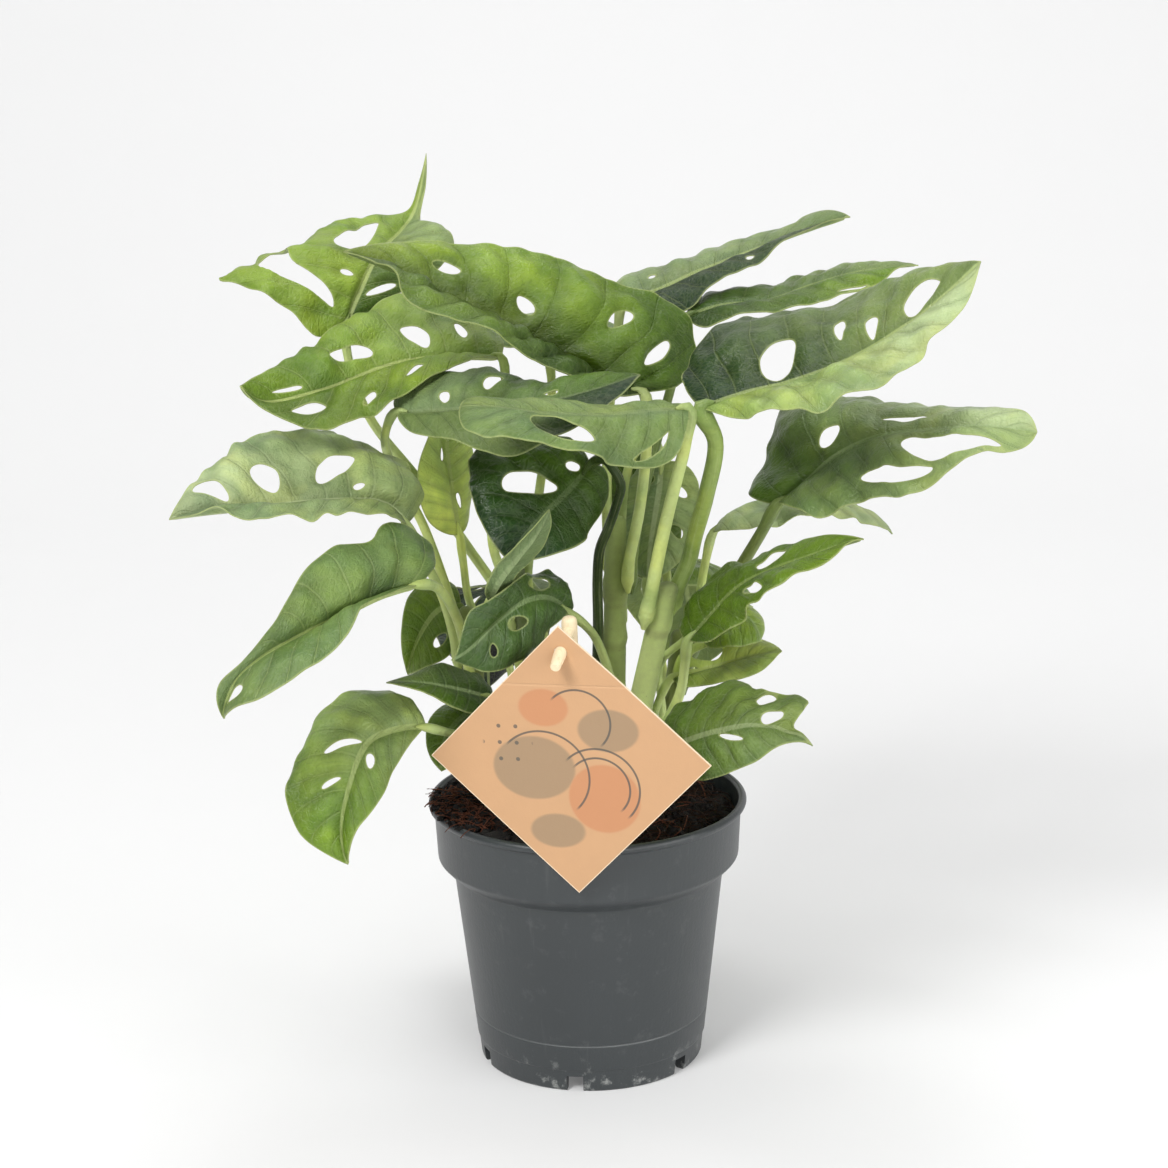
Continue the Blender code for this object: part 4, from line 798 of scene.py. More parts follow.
# %% Stem tables
SHOW_STEP = 1.6
VINE_DEPTH_Z = 72.0
VINE_STRAIGHT_Z = 107.0
SHEATH_LENGTH = 10.0
GAP = 0.3
DENSE = 193
VINES = {
    "left": dict(axis=[(-36, -8, 107), (-40, -10, 140), (-43, -12, 178)], radius=(4.0, 3.2)),
    "centre": dict(axis=[(9, 6, 107), (11, 6, 156), (12, 6, 208)], radius=(4.6, 4.0)),
    "right": dict(axis=[(12, -16, 107), (20, -19, 143), (30, -25, 190)], radius=(4.8, 4.2)),
    "far_right": dict(axis=[(30, 18, 107), (33, 20, 132), (36, 20, 160)], radius=(3.8, 3.2)),
    "back_left": dict(axis=[(-16, 24, 107), (-20, 24, 140), (-26, 20, 190)], radius=(3.8, 3.0)),
    "front_left": dict(axis=[(-22, -27, 107), (-22, -27, 130), (-23, -28, 154)], radius=(3.4, 2.8)),
}


# %% [markdown]
# ## The skin of a stem
# The stripes run lengthwise, so the pattern needs the stem unrolled: each point keeps its height and its
# way round the girth in the attribute `flat`. Each stem has a tone of its own, which holds painted light:
# the stems in front sit in the shade of the blades and are painted paler than their own green to stand for
# the light on them, and the ones behind are deeper green. All of them are darker towards the soil.

# %% Stem skin
CORK_LINE = linear(206, 214, 160)
CORK_DOT = linear(96, 84, 50)
BAND_FACTOR = (0.52, 0.66, 0.46)
LINE_STRETCH = (60.0, 1400.0, 1.0)
BAND_STRETCH = (14.0, 330.0, 1.0)


def stem_skin():
    """Smooth skin with fine corky lines, broad darker bands and small dots."""
    material, tree, shader, place = new_material("stem_skin")
    flat = stored(tree, "flat", "Vector")
    base, cloud = mottled(tree, stored(tree, "tint", "Color"), place, 70.0, 0.14)
    lines = clouds(tree, stretched(tree, flat, LINE_STRETCH), 1.0, 3.0, 0.6)
    lines = threshold(tree, lines, 0.52, 0.66)
    bands = clouds(tree, stretched(tree, flat, BAND_STRETCH), 1.0, 2.0)
    base = tinged(tree, base, BAND_FACTOR, threshold(tree, bands, 0.50, 0.36), 0.5)
    base = paint(tree, base, CORK_LINE, lines, 0.34)
    dots = threshold(tree, clouds(tree, place, 700.0, 2.0), 0.70, 0.78)
    base = paint(tree, base, CORK_DOT, dots, 0.45)
    rough = times_plus(tree, cloud, 0.25, 0.35)
    height = maths(tree, "ADD", lines, clouds(tree, place, 500.0))
    height = times_plus(tree, bands, 5.0, height)
    finish_skin(tree, shader, base, rough, height, 0.00012)
    return material


STEM_SKIN = stem_skin()
print("stem material:", STEM_SKIN.name)


# %% [markdown]
# ## Rings, scars and tips
# At a node the stem swells into a ring and keeps a thin scar just under it, and its top closes in four
# shrinking rings. The front stem gets painted shade above its last node, where two stalks hug it.

# %% Stem shape
VINE_SIDES = 20
VINE_GIRTH = 26.0
VINE_TIP = ((0.8, 0.9), (1.5, 0.7), (1.9, 0.4), (2.0, 0.12))
NODE_SWELL = 0.14
NODE_WIDTH = 2.4
SCAR_DROP = 3
SCAR_DEPTH = 0.05
SCAR_WIDTH = 0.8
SCAR_TONE = linear(126, 122, 66)
SCAR_TONE_WIDTH = 1.0
SHADED_TOP_VINE = "right"
TOP_SHADE_FROM = 184.0
TOP_SHADE_FADE = 8
DARK_FOOT_FROM, DARK_FOOT_TO = 112, 98
VINE_TONES_AND_LIGHT = {
    "left": (160, 176, 96), "centre": (204, 224, 132), "right": (232, 252, 158),
    "far_right": (150, 166, 86), "back_left": (120, 138, 76), "front_left": (128, 142, 80),
}


def vine_at(vine, z):
    """Centre and radius of a vine at a height."""
    line = smooth_line(vine["axis"], DENSE)
    share = np.interp(z, line[:, 2], np.linspace(0, 1, DENSE))
    foot, top = vine["radius"]
    return at(line, share), foot + (top - foot) * share


def make_vine(name, vine, joints):
    x, y, _ = vine["axis"][0]
    heights = np.arange(VINE_DEPTH_Z, vine["axis"][-1][2], SHOW_STEP)
    path, radii = [], []
    for z in heights:
        centre, radius = vine_at(vine, z)
        if z < VINE_STRAIGHT_Z:
            centre = np.array([x, y, z])
        nodes = [z - joint + SHEATH_LENGTH for joint in joints]
        swell = sum(math.exp(-(above / NODE_WIDTH)**2) for above in nodes)
        scar = sum(math.exp(-((above + SCAR_DROP) / SCAR_WIDTH)**2) for above in nodes)
        path.append(centre)
        radii.append(radius * (1 + NODE_SWELL * min(swell, 1) - SCAR_DEPTH * min(scar, 1)))
    for lift, share in VINE_TIP:
        path.append(path[len(heights) - 1] + (0, 0, lift))
        radii.append(radii[len(heights) - 1] * share)
    points, faces = loft(sweep(path, radii, VINE_SIDES))
    stem = add_piece("stem_" + name, points, faces, STEM_SKIN)
    rows = np.repeat(np.array(path)[:, 2], VINE_SIDES)
    around = np.tile(np.arange(VINE_SIDES) / VINE_SIDES * VINE_GIRTH, len(path))
    store(stem, "flat", np.stack([rows, around, rows * 0], axis=1), "FLOAT_VECTOR")
    store(stem, "tint", stem_tint(name, rows, joints), "FLOAT_COLOR")
    dress(stem, "stem", "vine_" + name)
    return stem


def stem_tint(name, rows, joints):
    """The stem's tone at the heights of its points, with scars, painted shade at the top of the front stem
    and a darker foot.
    """
    # The tone holds painted light: the front stems are painted paler than their own green.
    tone = linear(*VINE_TONES_AND_LIGHT[name])
    scars = np.zeros(len(rows))
    for joint in joints:
        away = (rows - joint + SHEATH_LENGTH + SCAR_DROP) / SCAR_TONE_WIDTH
        scars = np.maximum(scars, np.exp(-away**2))
    tint = tone + np.outer(scars * 0.3, SCAR_TONE - tone)
    # Painted shade on the front stem above its last node.
    groove = soft_step(rows, TOP_SHADE_FROM, TOP_SHADE_FROM + TOP_SHADE_FADE)[:, None]
    tint = tint * (1 - 0.6 * groove * (name == SHADED_TOP_VINE))
    # Darker towards the soil line and below it.
    tint = tint * (1 - 0.35 * soft_step(rows, DARK_FOOT_FROM, DARK_FOOT_TO)[:, None])
    return np.column_stack([tint, np.ones(len(rows))])


# %% [markdown]
# ## The leaves
# Each leaf is given by its midrib and its two margins in space, by its stalk with the radius at its
# top and foot, by the stem and the height where it joins, and by its holes between the side veins.
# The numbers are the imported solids' own, in millimetres, so the finer blades keep their form. A
# hole is its side, its place along the midrib and out to the margin, its half length and half
# width, and how far its outer end is ahead, as shares of the half blade.

# %% Leaf tables
BACK_HOLES = [("left", 0.26, 0.5, 0.035, 0.19, 0.04), ("left", 0.47, 0.48, 0.035, 0.2, 0.04),
              ("left", 0.67, 0.46, 0.03, 0.17, 0.04), ("right", 0.28, 0.5, 0.035, 0.19, 0.04),
              ("right", 0.5, 0.48, 0.035, 0.2, 0.04), ("right", 0.7, 0.46, 0.03, 0.17, 0.04)]
LEAVES = {}
LEAVES["top_left"] = dict(
    rib=[(-87, 28, 278), (-82, 36, 289), (-76, 50, 300), (-68, 76, 306), (-64, 88, 311), (-61, 95, 321),
         (-59, 100, 333)],
    left=[(-97, 22, 274), (-107, 20, 285), (-121, 22, 293), (-133, 26, 297), (-126, 38, 299),
          (-117, 50, 303), (-104, 62, 305), (-90, 76, 308), (-76, 84, 310), (-66, 90, 312), (-62, 96, 322)],
    right=[(-78, 34, 281), (-67, 42, 287), (-52, 54, 295), (-47, 66, 302), (-53, 76, 308), (-61, 86, 308),
           (-59, 95, 322)],
    stalk=[(-86, 27, 264), (-79, 26, 243), (-62, 31, 218), (-44, 29, 192)],
    vine="back_left", joint=168, seat=165, neck=-3, radius=(1.6, 2.0), green="leaf_bright",
    holes=[("left", 0.26, 0.57, 0.087, 0.2, 0.12), ("left", 0.55, 0.32, 0.119, 0.18, 0.07),
           ("left", 0.26, 0.17, 0.018, 0.05, 0.01), ("right", 0.22, 0.53, 0.033, 0.26, 0.05)],
)
LEAVES["crown"] = dict(
    rib=[(23, 8, 254), (7, 5, 261), (-8, 2, 271), (-25, -3, 281), (-42, -8, 291), (-63, -12, 302),
         (-83, -14, 311)],
    left=[(8, -8, 256), (-7, -20, 267), (-21, -30, 278), (-35, -36, 287), (-48, -38, 290), (-58, -38, 294),
          (-63, -35, 299), (-65, -29, 304), (-73, -20, 308)],
    right=[(41, 22, 259), (41, 30, 278), (11, 26, 293), (-25, 18, 305), (-57, 2, 312)],
    stalk=[(24, 4, 240), (21, 3, 212)],
    vine="centre", joint=190, seat=-45, radius=(1.9, 2.2), green="leaf_green",
    holes=[("right", 0.73, 0.4, 0.037, 0.12, 0.01), ("right", 0.49, 0.28, 0.024, 0.09, 0.03),
           ("right", 0.31, 0.55, 0.022, 0.13, 0.01), ("right", 0.18, 0.58, 0.02, 0.15, 0.02)],
)
LEAVES["back_high"] = dict(
    rib=[(17, 50, 282), (28, 54, 284), (47, 62, 291), (64, 70, 296), (85, 80, 302), (106, 88, 307)],
    left=[(13, 62, 285), (22, 72, 289), (40, 80, 293), (63, 88, 298), (84, 92, 303), (88, 93, 306),
          (98, 92, 309)],
    right=[(28, 38, 277), (42, 42, 281), (48, 46, 287), (55, 50, 290), (63, 54, 292), (69, 58, 293),
           (76, 64, 299), (82, 70, 302), (89, 76, 304), (96, 83, 306)],
    stalk=[(14, 44, 268), (10, 30, 236), (9, 19, 208)],
    vine="centre", joint=193, seat=115, radius=(1.7, 2.0), green="leaf_green",
    holes=[("left", 0.2, 0.43, 0.016, 0.07, 0.01), ("right", 0.39, 0.17, 0.024, 0.05, -0.01),
           ("right", 0.54, 0.54, 0.016, 0.15, 0.0)],
)
LEAVES["back_right"] = dict(
    rib=[(40, 42, 276), (53, 44, 280), (71, 47, 281), (88, 52, 286), (107, 58, 290), (130, 66, 291)],
    left=[(44, 54, 280), (52, 64, 283), (70, 70, 284), (91, 74, 287), (107, 76, 289), (116, 74, 289),
          (124, 72, 290)],
    right=[(47, 32, 274), (57, 30, 279), (72, 31, 280), (90, 36, 282), (105, 42, 285), (114, 50, 287),
           (121, 58, 291)],
    stalk=[(37, 38, 262), (29, 24, 236), (21, 12, 208)],
    vine="centre", joint=188, seat=15, radius=(1.7, 2.0), green="leaf_green",
    holes=[("right", 0.66, 0.85, 0.055, 0.05, 0.03)],
)
LEAVES["right_big"] = dict(
    rib=[(42, -38, 257), (56, -39, 262), (75, -41, 267), (92, -44, 274), (107, -46, 283), (121, -46, 293),
         (138, -44, 308)],
    left=[(37, -26, 261), (36, -18, 266), (41, -8, 274), (49, -2, 280), (68, 2, 284), (92, 0, 288),
          (109, -10, 296), (125, -26, 303), (133, -38, 307)],
    right=[(56, -58, 258), (65, -66, 263), (73, -70, 263), (80, -74, 262), (86, -76, 266), (93, -76, 269),
           (100, -75, 270), (107, -72, 275), (115, -68, 279), (118, -64, 284), (124, -59, 288),
           (131, -54, 294), (135, -49, 300)],
    stalk=[(47, -36, 245), (44, -30, 224), (40, -23, 207), (38, -19, 197)],
    vine="right", joint=186, seat=55, radius=(2.9, 3.0), green="leaf_green",
    holes=[("left", 0.32, 0.24, 0.058, 0.19, 0.05), ("left", 0.53, 0.31, 0.016, 0.13, 0.02),
           ("left", 0.61, 0.19, 0.017, 0.13, 0.02), ("left", 0.78, 0.25, 0.058, 0.2, 0.04)],
)
LEAVES["right_low"] = dict(
    rib=[(71, -8, 215), (81, -9, 223), (91, -12, 233), (105, -20, 242), (123, -32, 247), (141, -43, 250),
         (158, -50, 249)],
    left=[(64, -2, 215), (61, 4, 217), (66, 14, 227), (70, 20, 239), (75, 26, 245), (89, 24, 246),
          (104, 16, 250), (118, 2, 250), (133, -16, 250), (147, -34, 254), (155, -46, 255)],
    right=[(76, -22, 217), (84, -30, 215), (94, -38, 222), (104, -46, 226), (112, -52, 227),
           (121, -57, 232), (129, -59, 240), (139, -58, 245), (146, -56, 244), (154, -53, 245)],
    stalk=[(65, -4, 203), (55, 5, 183), (46, 12, 165)],
    vine="far_right", joint=146, seat=-55, radius=(2.1, 2.5), green="leaf_blue",
    holes=[("left", 0.57, 0.23, 0.069, 0.05, -0.03), ("right", 0.69, 0.51, 0.108, 0.35, 0.13),
           ("right", 0.5, 0.7, 0.115, 0.13, 0.05), ("left", 0.31, 0.22, 0.045, 0.08, 0.02)],
)
LEAVES["right_behind"] = dict(
    rib=[(49, 24, 197), (69, 30, 207), (104, 34, 203), (118, 34, 193)],
    left=[(58, 44, 197), (80, 58, 198), (105, 54, 196)],
    right=[(58, 6, 203), (76, 4, 206), (103, 16, 203)],
    stalk=[(46, 23, 186), (43, 24, 168)],
    vine="far_right", joint=148, seat=20, radius=(1.5, 1.9), green="leaf_grey",
    holes=[("left", 0.3, 0.5, 0.035, 0.18, 0.03), ("left", 0.55, 0.5, 0.035, 0.18, 0.03),
           ("right", 0.45, 0.5, 0.035, 0.16, 0.03)],
)
LEAVES["right_mid"] = dict(
    rib=[(37, -36, 172), (45, -39, 182), (54, -43, 193), (64, -47, 200), (76, -53, 206), (87, -58, 211),
         (97, -62, 215)],
    left=[(35, -29, 173), (35, -25, 178), (37, -21, 182), (41, -19, 187), (47, -20, 192), (54, -24, 198),
          (61, -28, 199), (67, -34, 205), (76, -41, 208), (84, -50, 213), (91, -57, 215)],
    right=[(42, -46, 174), (48, -54, 180), (54, -60, 186), (57, -64, 193), (61, -66, 196), (68, -68, 200),
           (75, -69, 205), (82, -68, 208), (87, -66, 211), (91, -64, 214)],
    stalk=[(36, -31, 162), (34, -25, 148)],
    vine="right", joint=120, radius=(1.7, 2.0), green="leaf_green",
    holes=[("left", 0.56, 0.36, 0.069, 0.2, 0.04), ("right", 0.66, 0.2, 0.08, 0.09, 0.06),
           ("right", 0.46, 0.52, 0.042, 0.23, 0.04)],
)
LEAVES["right_dark"] = dict(
    rib=[(42, -8, 168), (52, -10, 174), (60, -14, 174), (64, -18, 166)],
    left=[(44, 2, 174), (57, 2, 176), (65, -6, 171)],
    right=[(45, -20, 165), (53, -26, 166), (61, -24, 167)],
    stalk=[(36, -3, 162), (28, 8, 150)],
    vine="far_right", joint=128, seat=-130, radius=(1.3, 1.6), green="leaf_blue",
)
LEAVES["right_bright"] = dict(
    rib=[(32, -5, 149), (41, -7, 152), (50, -10, 155), (61, -13, 159), (72, -16, 162)],
    left=[(35, 2, 155), (39, 5, 159), (45, 6, 162), (53, 6, 164), (60, 3, 163), (66, -4, 162),
          (70, -10, 162)],
    right=[(35, -12, 148), (42, -18, 150), (50, -23, 152), (57, -26, 154), (62, -26, 156), (67, -22, 159)],
    stalk=[(27, -6, 140)],
    vine="right", joint=118, seat=45, radius=(1.4, 1.7), green="leaf_bright",
    holes=[("left", 0.37, 0.38, 0.112, 0.23, -0.04), ("left", 0.2, 0.15, 0.025, 0.07, -0.04)],
)
LEAVES["right_bottom"] = dict(
    rib=[(24, -50, 135), (34, -55, 140), (45, -62, 146), (56, -68, 150), (65, -73, 151), (70, -77, 150),
         (74, -80, 150), (78, -83, 147)],
    left=[(28, -42, 141), (30, -36, 146), (38, -34, 150), (45, -34, 154), (52, -36, 157), (56, -40, 158),
          (59, -46, 157), (65, -54, 158), (72, -60, 157), (78, -66, 157), (74, -70, 153), (72, -75, 151),
          (75, -79, 150)],
    right=[(29, -56, 130), (36, -62, 128), (46, -68, 131), (53, -72, 135), (59, -76, 139), (65, -79, 145),
           (69, -80, 147), (74, -82, 148)],
    stalk=[(19, -42, 134), (15, -32, 128)],
    vine="right", joint=114, seat=-75, neck=-3, radius=(1.5, 1.8), green="leaf_grey",
    holes=[("left", 0.6, 0.74, 0.038, 0.18, 0.0), ("left", 0.7, 0.24, 0.051, 0.19, 0.0),
           ("right", 0.51, 0.21, 0.038, 0.14, 0.07)],
)
LEAVES["left_bottom"] = dict(
    rib=[(-57, -52, 146), (-67, -60, 148), (-77, -66, 145), (-83, -73, 132), (-86, -77, 117),
         (-84, -80, 105)],
    left=[(-62, -60, 143), (-66, -67, 138), (-70, -73, 131), (-75, -78, 124), (-80, -81, 118),
          (-83, -82, 111)],
    right=[(-60, -46, 151), (-66, -42, 157), (-76, -44, 160), (-86, -49, 158), (-94, -54, 151),
           (-98, -59, 144), (-104, -65, 135), (-106, -70, 128), (-104, -74, 120), (-99, -78, 114),
           (-91, -80, 109)],
    stalk=[(-48, -44, 141), (-39, -36, 136), (-31, -28, 126)],
    vine="front_left", joint=116, seat=170, radius=(1.5, 1.8), green="leaf_green",
    holes=[("right", 0.45, 0.32, 0.02, 0.24, 0.07), ("right", 0.61, 0.28, 0.018, 0.12, 0.03),
           ("left", 0.42, 0.3, 0.033, 0.15, 0.01)],
)
LEAVES["left_droop"] = dict(
    rib=[(-58, -50, 198), (-69, -58, 197), (-82, -72, 194), (-97, -86, 190), (-110, -96, 185),
         (-118, -100, 178), (-122, -102, 166)],
    left=[(-62, -60, 199), (-68, -70, 199), (-75, -80, 199), (-78, -88, 197), (-80, -94, 193),
          (-87, -101, 187), (-95, -106, 182), (-102, -110, 178), (-109, -112, 175), (-117, -110, 172)],
    right=[(-52, -40, 204), (-53, -36, 208), (-58, -36, 214), (-63, -40, 218), (-69, -46, 219),
           (-74, -52, 215), (-84, -58, 215), (-95, -70, 210), (-100, -80, 204), (-106, -90, 195),
           (-115, -97, 185), (-123, -100, 178), (-124, -102, 173)],
    stalk=[(-52, -40, 194), (-46, -29, 180)],
    vine="left", joint=154, seat=-100, radius=(1.7, 2.0), green="leaf_green",
    holes=[("left", 0.88, 0.38, 0.042, 0.23, -0.01)],
)
LEAVES["left_arch"] = dict(
    rib=[(-63, -30, 215), (-71, -34, 224), (-83, -42, 227), (-111, -54, 228), (-142, -66, 227)],
    left=[(-66, -44, 220), (-75, -56, 227), (-88, -66, 231), (-99, -70, 230), (-106, -73, 231),
          (-116, -75, 229), (-125, -74, 231), (-134, -71, 229)],
    right=[(-58, -22, 221), (-58, -16, 227), (-64, -10, 234), (-75, -6, 240), (-89, -8, 244),
           (-104, -14, 245), (-118, -24, 246), (-129, -40, 242), (-136, -54, 236)],
    stalk=[(-57, -24, 200), (-51, -17, 183)],
    vine="left", joint=164, seat=-160, radius=(1.6, 1.9), green="leaf_grey",
    holes=[("right", 0.82, 0.48, 0.037, 0.35, 0.05), ("right", 0.61, 0.34, 0.047, 0.21, 0.02),
           ("right", 0.39, 0.39, 0.051, 0.18, -0.02), ("right", 0.28, 0.17, 0.019, 0.05, 0.0)],
)
LEAVES["left_bright"] = dict(
    rib=[(-29, 14, 267), (-64, 2, 268), (-93, -14, 261), (-113, -28, 260), (-119, -34, 267)],
    left=[(-50, -12, 267), (-75, -30, 256), (-94, -36, 251), (-110, -38, 258)],
    right=[(-33, 30, 276), (-66, 30, 287), (-90, 8, 278), (-108, -12, 271)],
    stalk=[(-28, 15, 251), (-31, 13, 224), (-34, 13, 198)],
    vine="back_left", joint=176, seat=-135, radius=(1.5, 1.9), green="leaf_bright",
    holes=[("right", 0.55, 0.34, 0.055, 0.16, 0.07), ("right", 0.32, 0.33, 0.036, 0.18, 0.04),
           ("right", 0.19, 0.45, 0.02, 0.14, 0.02), ("right", 0.79, 0.2, 0.041, 0.07, 0.04),
           ("left", 0.73, 0.42, 0.056, 0.14, 0.01), ("left", 0.53, 0.69, 0.02, 0.12, 0.02),
           ("left", 0.35, 0.57, 0.032, 0.07, 0.01)],
)
LEAVES["centre_left"] = dict(
    rib=[(-66, -20, 254), (-41, -32, 257), (-11, -40, 261), (21, -30, 268)],
    left=[(-64, -8, 260), (-38, -6, 267), (-13, -18, 263), (11, -24, 267)],
    right=[(-61, -30, 249), (-46, -46, 250), (-23, -54, 244), (7, -50, 260)],
    stalk=[(-71, -9, 243), (-70, 4, 230), (-58, 4, 204)],
    vine="left", joint=168, seat=135, radius=(1.5, 1.9), green="leaf_grey",
    holes=[("left", 0.24, 0.23, 0.02, 0.09, 0.01), ("left", 0.65, 0.18, 0.025, 0.05, 0.0),
           ("left", 0.44, 0.5, 0.03, 0.15, 0.03), ("right", 0.5, 0.45, 0.03, 0.12, 0.03)],
)
LEAVES["centre_front"] = dict(
    rib=[(37, -54, 260), (24, -60, 261), (6, -66, 261), (-14, -71, 263), (-31, -74, 266), (-41, -74, 266)],
    left=[(36, -64, 255), (31, -72, 246), (21, -78, 245), (13, -82, 248), (5, -86, 252), (-7, -88, 254),
          (-20, -91, 257), (-32, -90, 258), (-39, -84, 260)],
    right=[(33, -44, 260), (20, -47, 261), (7, -51, 261), (-12, -56, 264), (-28, -60, 265),
           (-36, -64, 268)],
    stalk=[(36, -50, 247), (33, -44, 233), (30, -38, 219), (27, -33, 204)],
    vine="right", joint=184, seat=-140, radius=(2.0, 2.6), green="leaf_grey",
    holes=[("left", 0.59, 0.47, 0.1, 0.34, -0.05), ("left", 0.25, 0.72, 0.034, 0.16, 0.07)],
)
LEAVES["centre_dark"] = dict(
    rib=[(3, -8, 231), (-4, -15, 224), (-13, -23, 217), (-21, -30, 210), (-27, -34, 202)],
    left=[(7, -4, 229), (9, -5, 223), (8, -8, 216), (4, -15, 209), (-3, -28, 205), (-13, -34, 203),
          (-22, -36, 202)],
    right=[(-4, 2, 238), (-17, 2, 240), (-30, -2, 240), (-37, -8, 238), (-41, -14, 235), (-41, -20, 228),
           (-39, -26, 221), (-35, -31, 213), (-31, -34, 207)],
    stalk=[(8, -13, 234), (11, -16, 231), (14, -15, 225), (12, -12, 216), (9, -9, 207), (6, -7, 199),
           (5, -4, 187), (5, -1, 170)],
    vine="centre", joint=150, seat=-160, radius=(1.6, 2.1), green="leaf_blue",
    holes=[("right", 0.46, 0.33, 0.097, 0.23, 0.1), ("right", 0.16, 0.28, 0.045, 0.12, 0.02)],
)
LEAVES["centre_grey"] = dict(
    rib=[(30, 36, 222), (29, 32, 212), (27, 27, 202), (25, 23, 191), (24, 19, 181)],
    left=[(40, 36, 220), (45, 34, 211), (46, 31, 202), (43, 27, 193), (37, 23, 187), (30, 20, 182)],
    right=[(23, 42, 222), (17, 42, 215), (13, 40, 205), (13, 36, 196), (15, 31, 187), (19, 25, 182)],
    stalk=[(28, 38, 229), (22, 30, 229), (17, 22, 222), (14, 17, 194)],
    vine="centre", joint=172, seat=65, radius=(1.5, 1.8), green="leaf_grey",
    holes=[("left", 0.3, 0.5, 0.04, 0.18, 0.03), ("left", 0.58, 0.48, 0.035, 0.16, 0.03),
           ("right", 0.22, 0.4, 0.05, 0.2, 0.03)],
)
LEAVES["left_upright"] = dict(
    rib=[(-46, 14, 200), (-48, 16, 213), (-50, 22, 227), (-51, 36, 245)],
    left=[(-57, 6, 207), (-60, 8, 225), (-56, 22, 240)],
    right=[(-42, 22, 206), (-41, 28, 224), (-44, 34, 238)],
    stalk=[(-45, 13, 190), (-42, 12, 172)],
    vine="back_left", joint=150, radius=(1.4, 1.7), green="leaf_bright",
    holes=[("left", 0.6, 0.23, 0.05, 0.09, 0.0), ("right", 0.27, 0.26, 0.05, 0.11, -0.02)],
)
LEAVES["small_curled"] = dict(
    rib=[(-34, -40, 189), (-30, -45, 197), (-23, -49, 207), (-17, -51, 215), (-12, -52, 225)],
    left=[(-30, -37, 188), (-26, -39, 193), (-24, -40, 199), (-19, -40, 204), (-14, -43, 209),
          (-11, -47, 217)],
    right=[(-35, -46, 195), (-33, -47, 200), (-30, -49, 205), (-25, -52, 210), (-20, -54, 216),
           (-15, -55, 222)],
    stalk=[(-34, -34, 184), (-32, -27, 176), (-29, -24, 167)],
    vine="front_left", joint=146, seat=130, radius=(1.2, 1.5), green="leaf_grey",
)
LEAVES["front_teal"] = dict(
    rib=[(-6, -24, 180), (-13, -33, 188), (-21, -41, 189), (-32, -50, 183), (-40, -55, 176),
         (-47, -57, 172)],
    left=[(-7, -29, 180), (-13, -37, 177), (-16, -43, 173), (-20, -48, 171), (-27, -52, 168),
          (-35, -54, 167), (-41, -54, 169)],
    right=[(-4, -16, 182), (-10, -14, 192), (-16, -22, 196), (-21, -34, 197), (-28, -45, 195),
           (-34, -51, 192), (-40, -53, 189), (-43, -55, 182), (-45, -56, 175)],
    stalk=[(0, -20, 174), (5, -11, 164)],
    vine="centre", joint=136, seat=-80, radius=(1.5, 1.9), green="leaf_blue",
    holes=[("left", 0.53, 0.28, 0.056, 0.14, -0.02), ("right", 0.33, 0.42, 0.075, 0.24, 0.03),
           ("left", 0.72, 0.5, 0.022, 0.16, 0.0)],
)
LEAVES["left_low"] = dict(
    rib=[(-34, -34, 151), (-46, -42, 157), (-58, -50, 162), (-70, -58, 165)],
    left=[(-36, -44, 148), (-48, -54, 155), (-60, -60, 162)],
    right=[(-37, -22, 157), (-50, -30, 163), (-62, -46, 164)],
    stalk=[(-31, -32, 140)],
    vine="front_left", joint=126, seat=-105, radius=(1.3, 1.6), green="leaf_blue",
)
LEAVES["left_inner"] = dict(
    rib=[(-46, 8, 174), (-54, 5, 174), (-61, 0, 166), (-66, -6, 152)],
    left=[(-46, 2, 165), (-52, -6, 158), (-60, -10, 155)],
    right=[(-51, 16, 183), (-63, 12, 181), (-68, 0, 168)],
    stalk=[(-43, 4, 162)],
    vine="left", joint=142, seat=60, radius=(1.3, 1.6), green="leaf_green",
    holes=[("left", 0.47, 0.57, 0.089, 0.13, -0.02)],
)
LEAVES["left_under"] = dict(
    rib=[(-40, -19, 142), (-47, -26, 140), (-52, -31, 133), (-53, -33, 123)],
    left=[(-39, -28, 136), (-45, -34, 129)],
    right=[(-48, -14, 144), (-57, -24, 140), (-58, -31, 131)],
    stalk=[(-38, -18, 132)],
    vine="left", joint=124, seat=-90, radius=(1.2, 1.5), green="leaf_blue",
)
LEAVES["behind_left"] = dict(
    rib=[(-18, 50, 168), (-30, 72, 172), (-38, 96, 148), (-40, 108, 112)],
    left=[(-8, 62, 168), (-8, 90, 152), (-24, 108, 128)],
    right=[(-36, 52, 168), (-58, 72, 158), (-58, 96, 132)],
    stalk=[(-16, 40, 156)],
    vine="back_left", joint=124, seat=85, radius=(1.5, 1.9), green="leaf_green",
    holes=BACK_HOLES,
)
LEAVES["behind_right"] = dict(
    rib=[(24, 50, 172), (34, 74, 176), (42, 98, 154), (44, 112, 116)],
    left=[(12, 62, 172), (14, 90, 156), (28, 112, 130)],
    right=[(40, 48, 172), (62, 68, 164), (64, 98, 138)],
    stalk=[(26, 42, 160)],
    vine="far_right", joint=132, seat=110, radius=(1.5, 1.9), green="leaf_green",
    holes=BACK_HOLES,
)
LEAVES["behind_high"] = dict(
    rib=[(-12, 48, 262), (-16, 76, 270), (-22, 106, 268), (-26, 134, 256)],
    left=[(-30, 54, 264), (-46, 82, 262), (-42, 114, 254)],
    right=[(2, 56, 264), (14, 84, 264), (0, 118, 256)],
    stalk=[(-11, 42, 248), (-16, 34, 214)],
    vine="back_left", joint=180, seat=50, radius=(1.6, 1.9), green="leaf_blue",
    holes=BACK_HOLES,
)
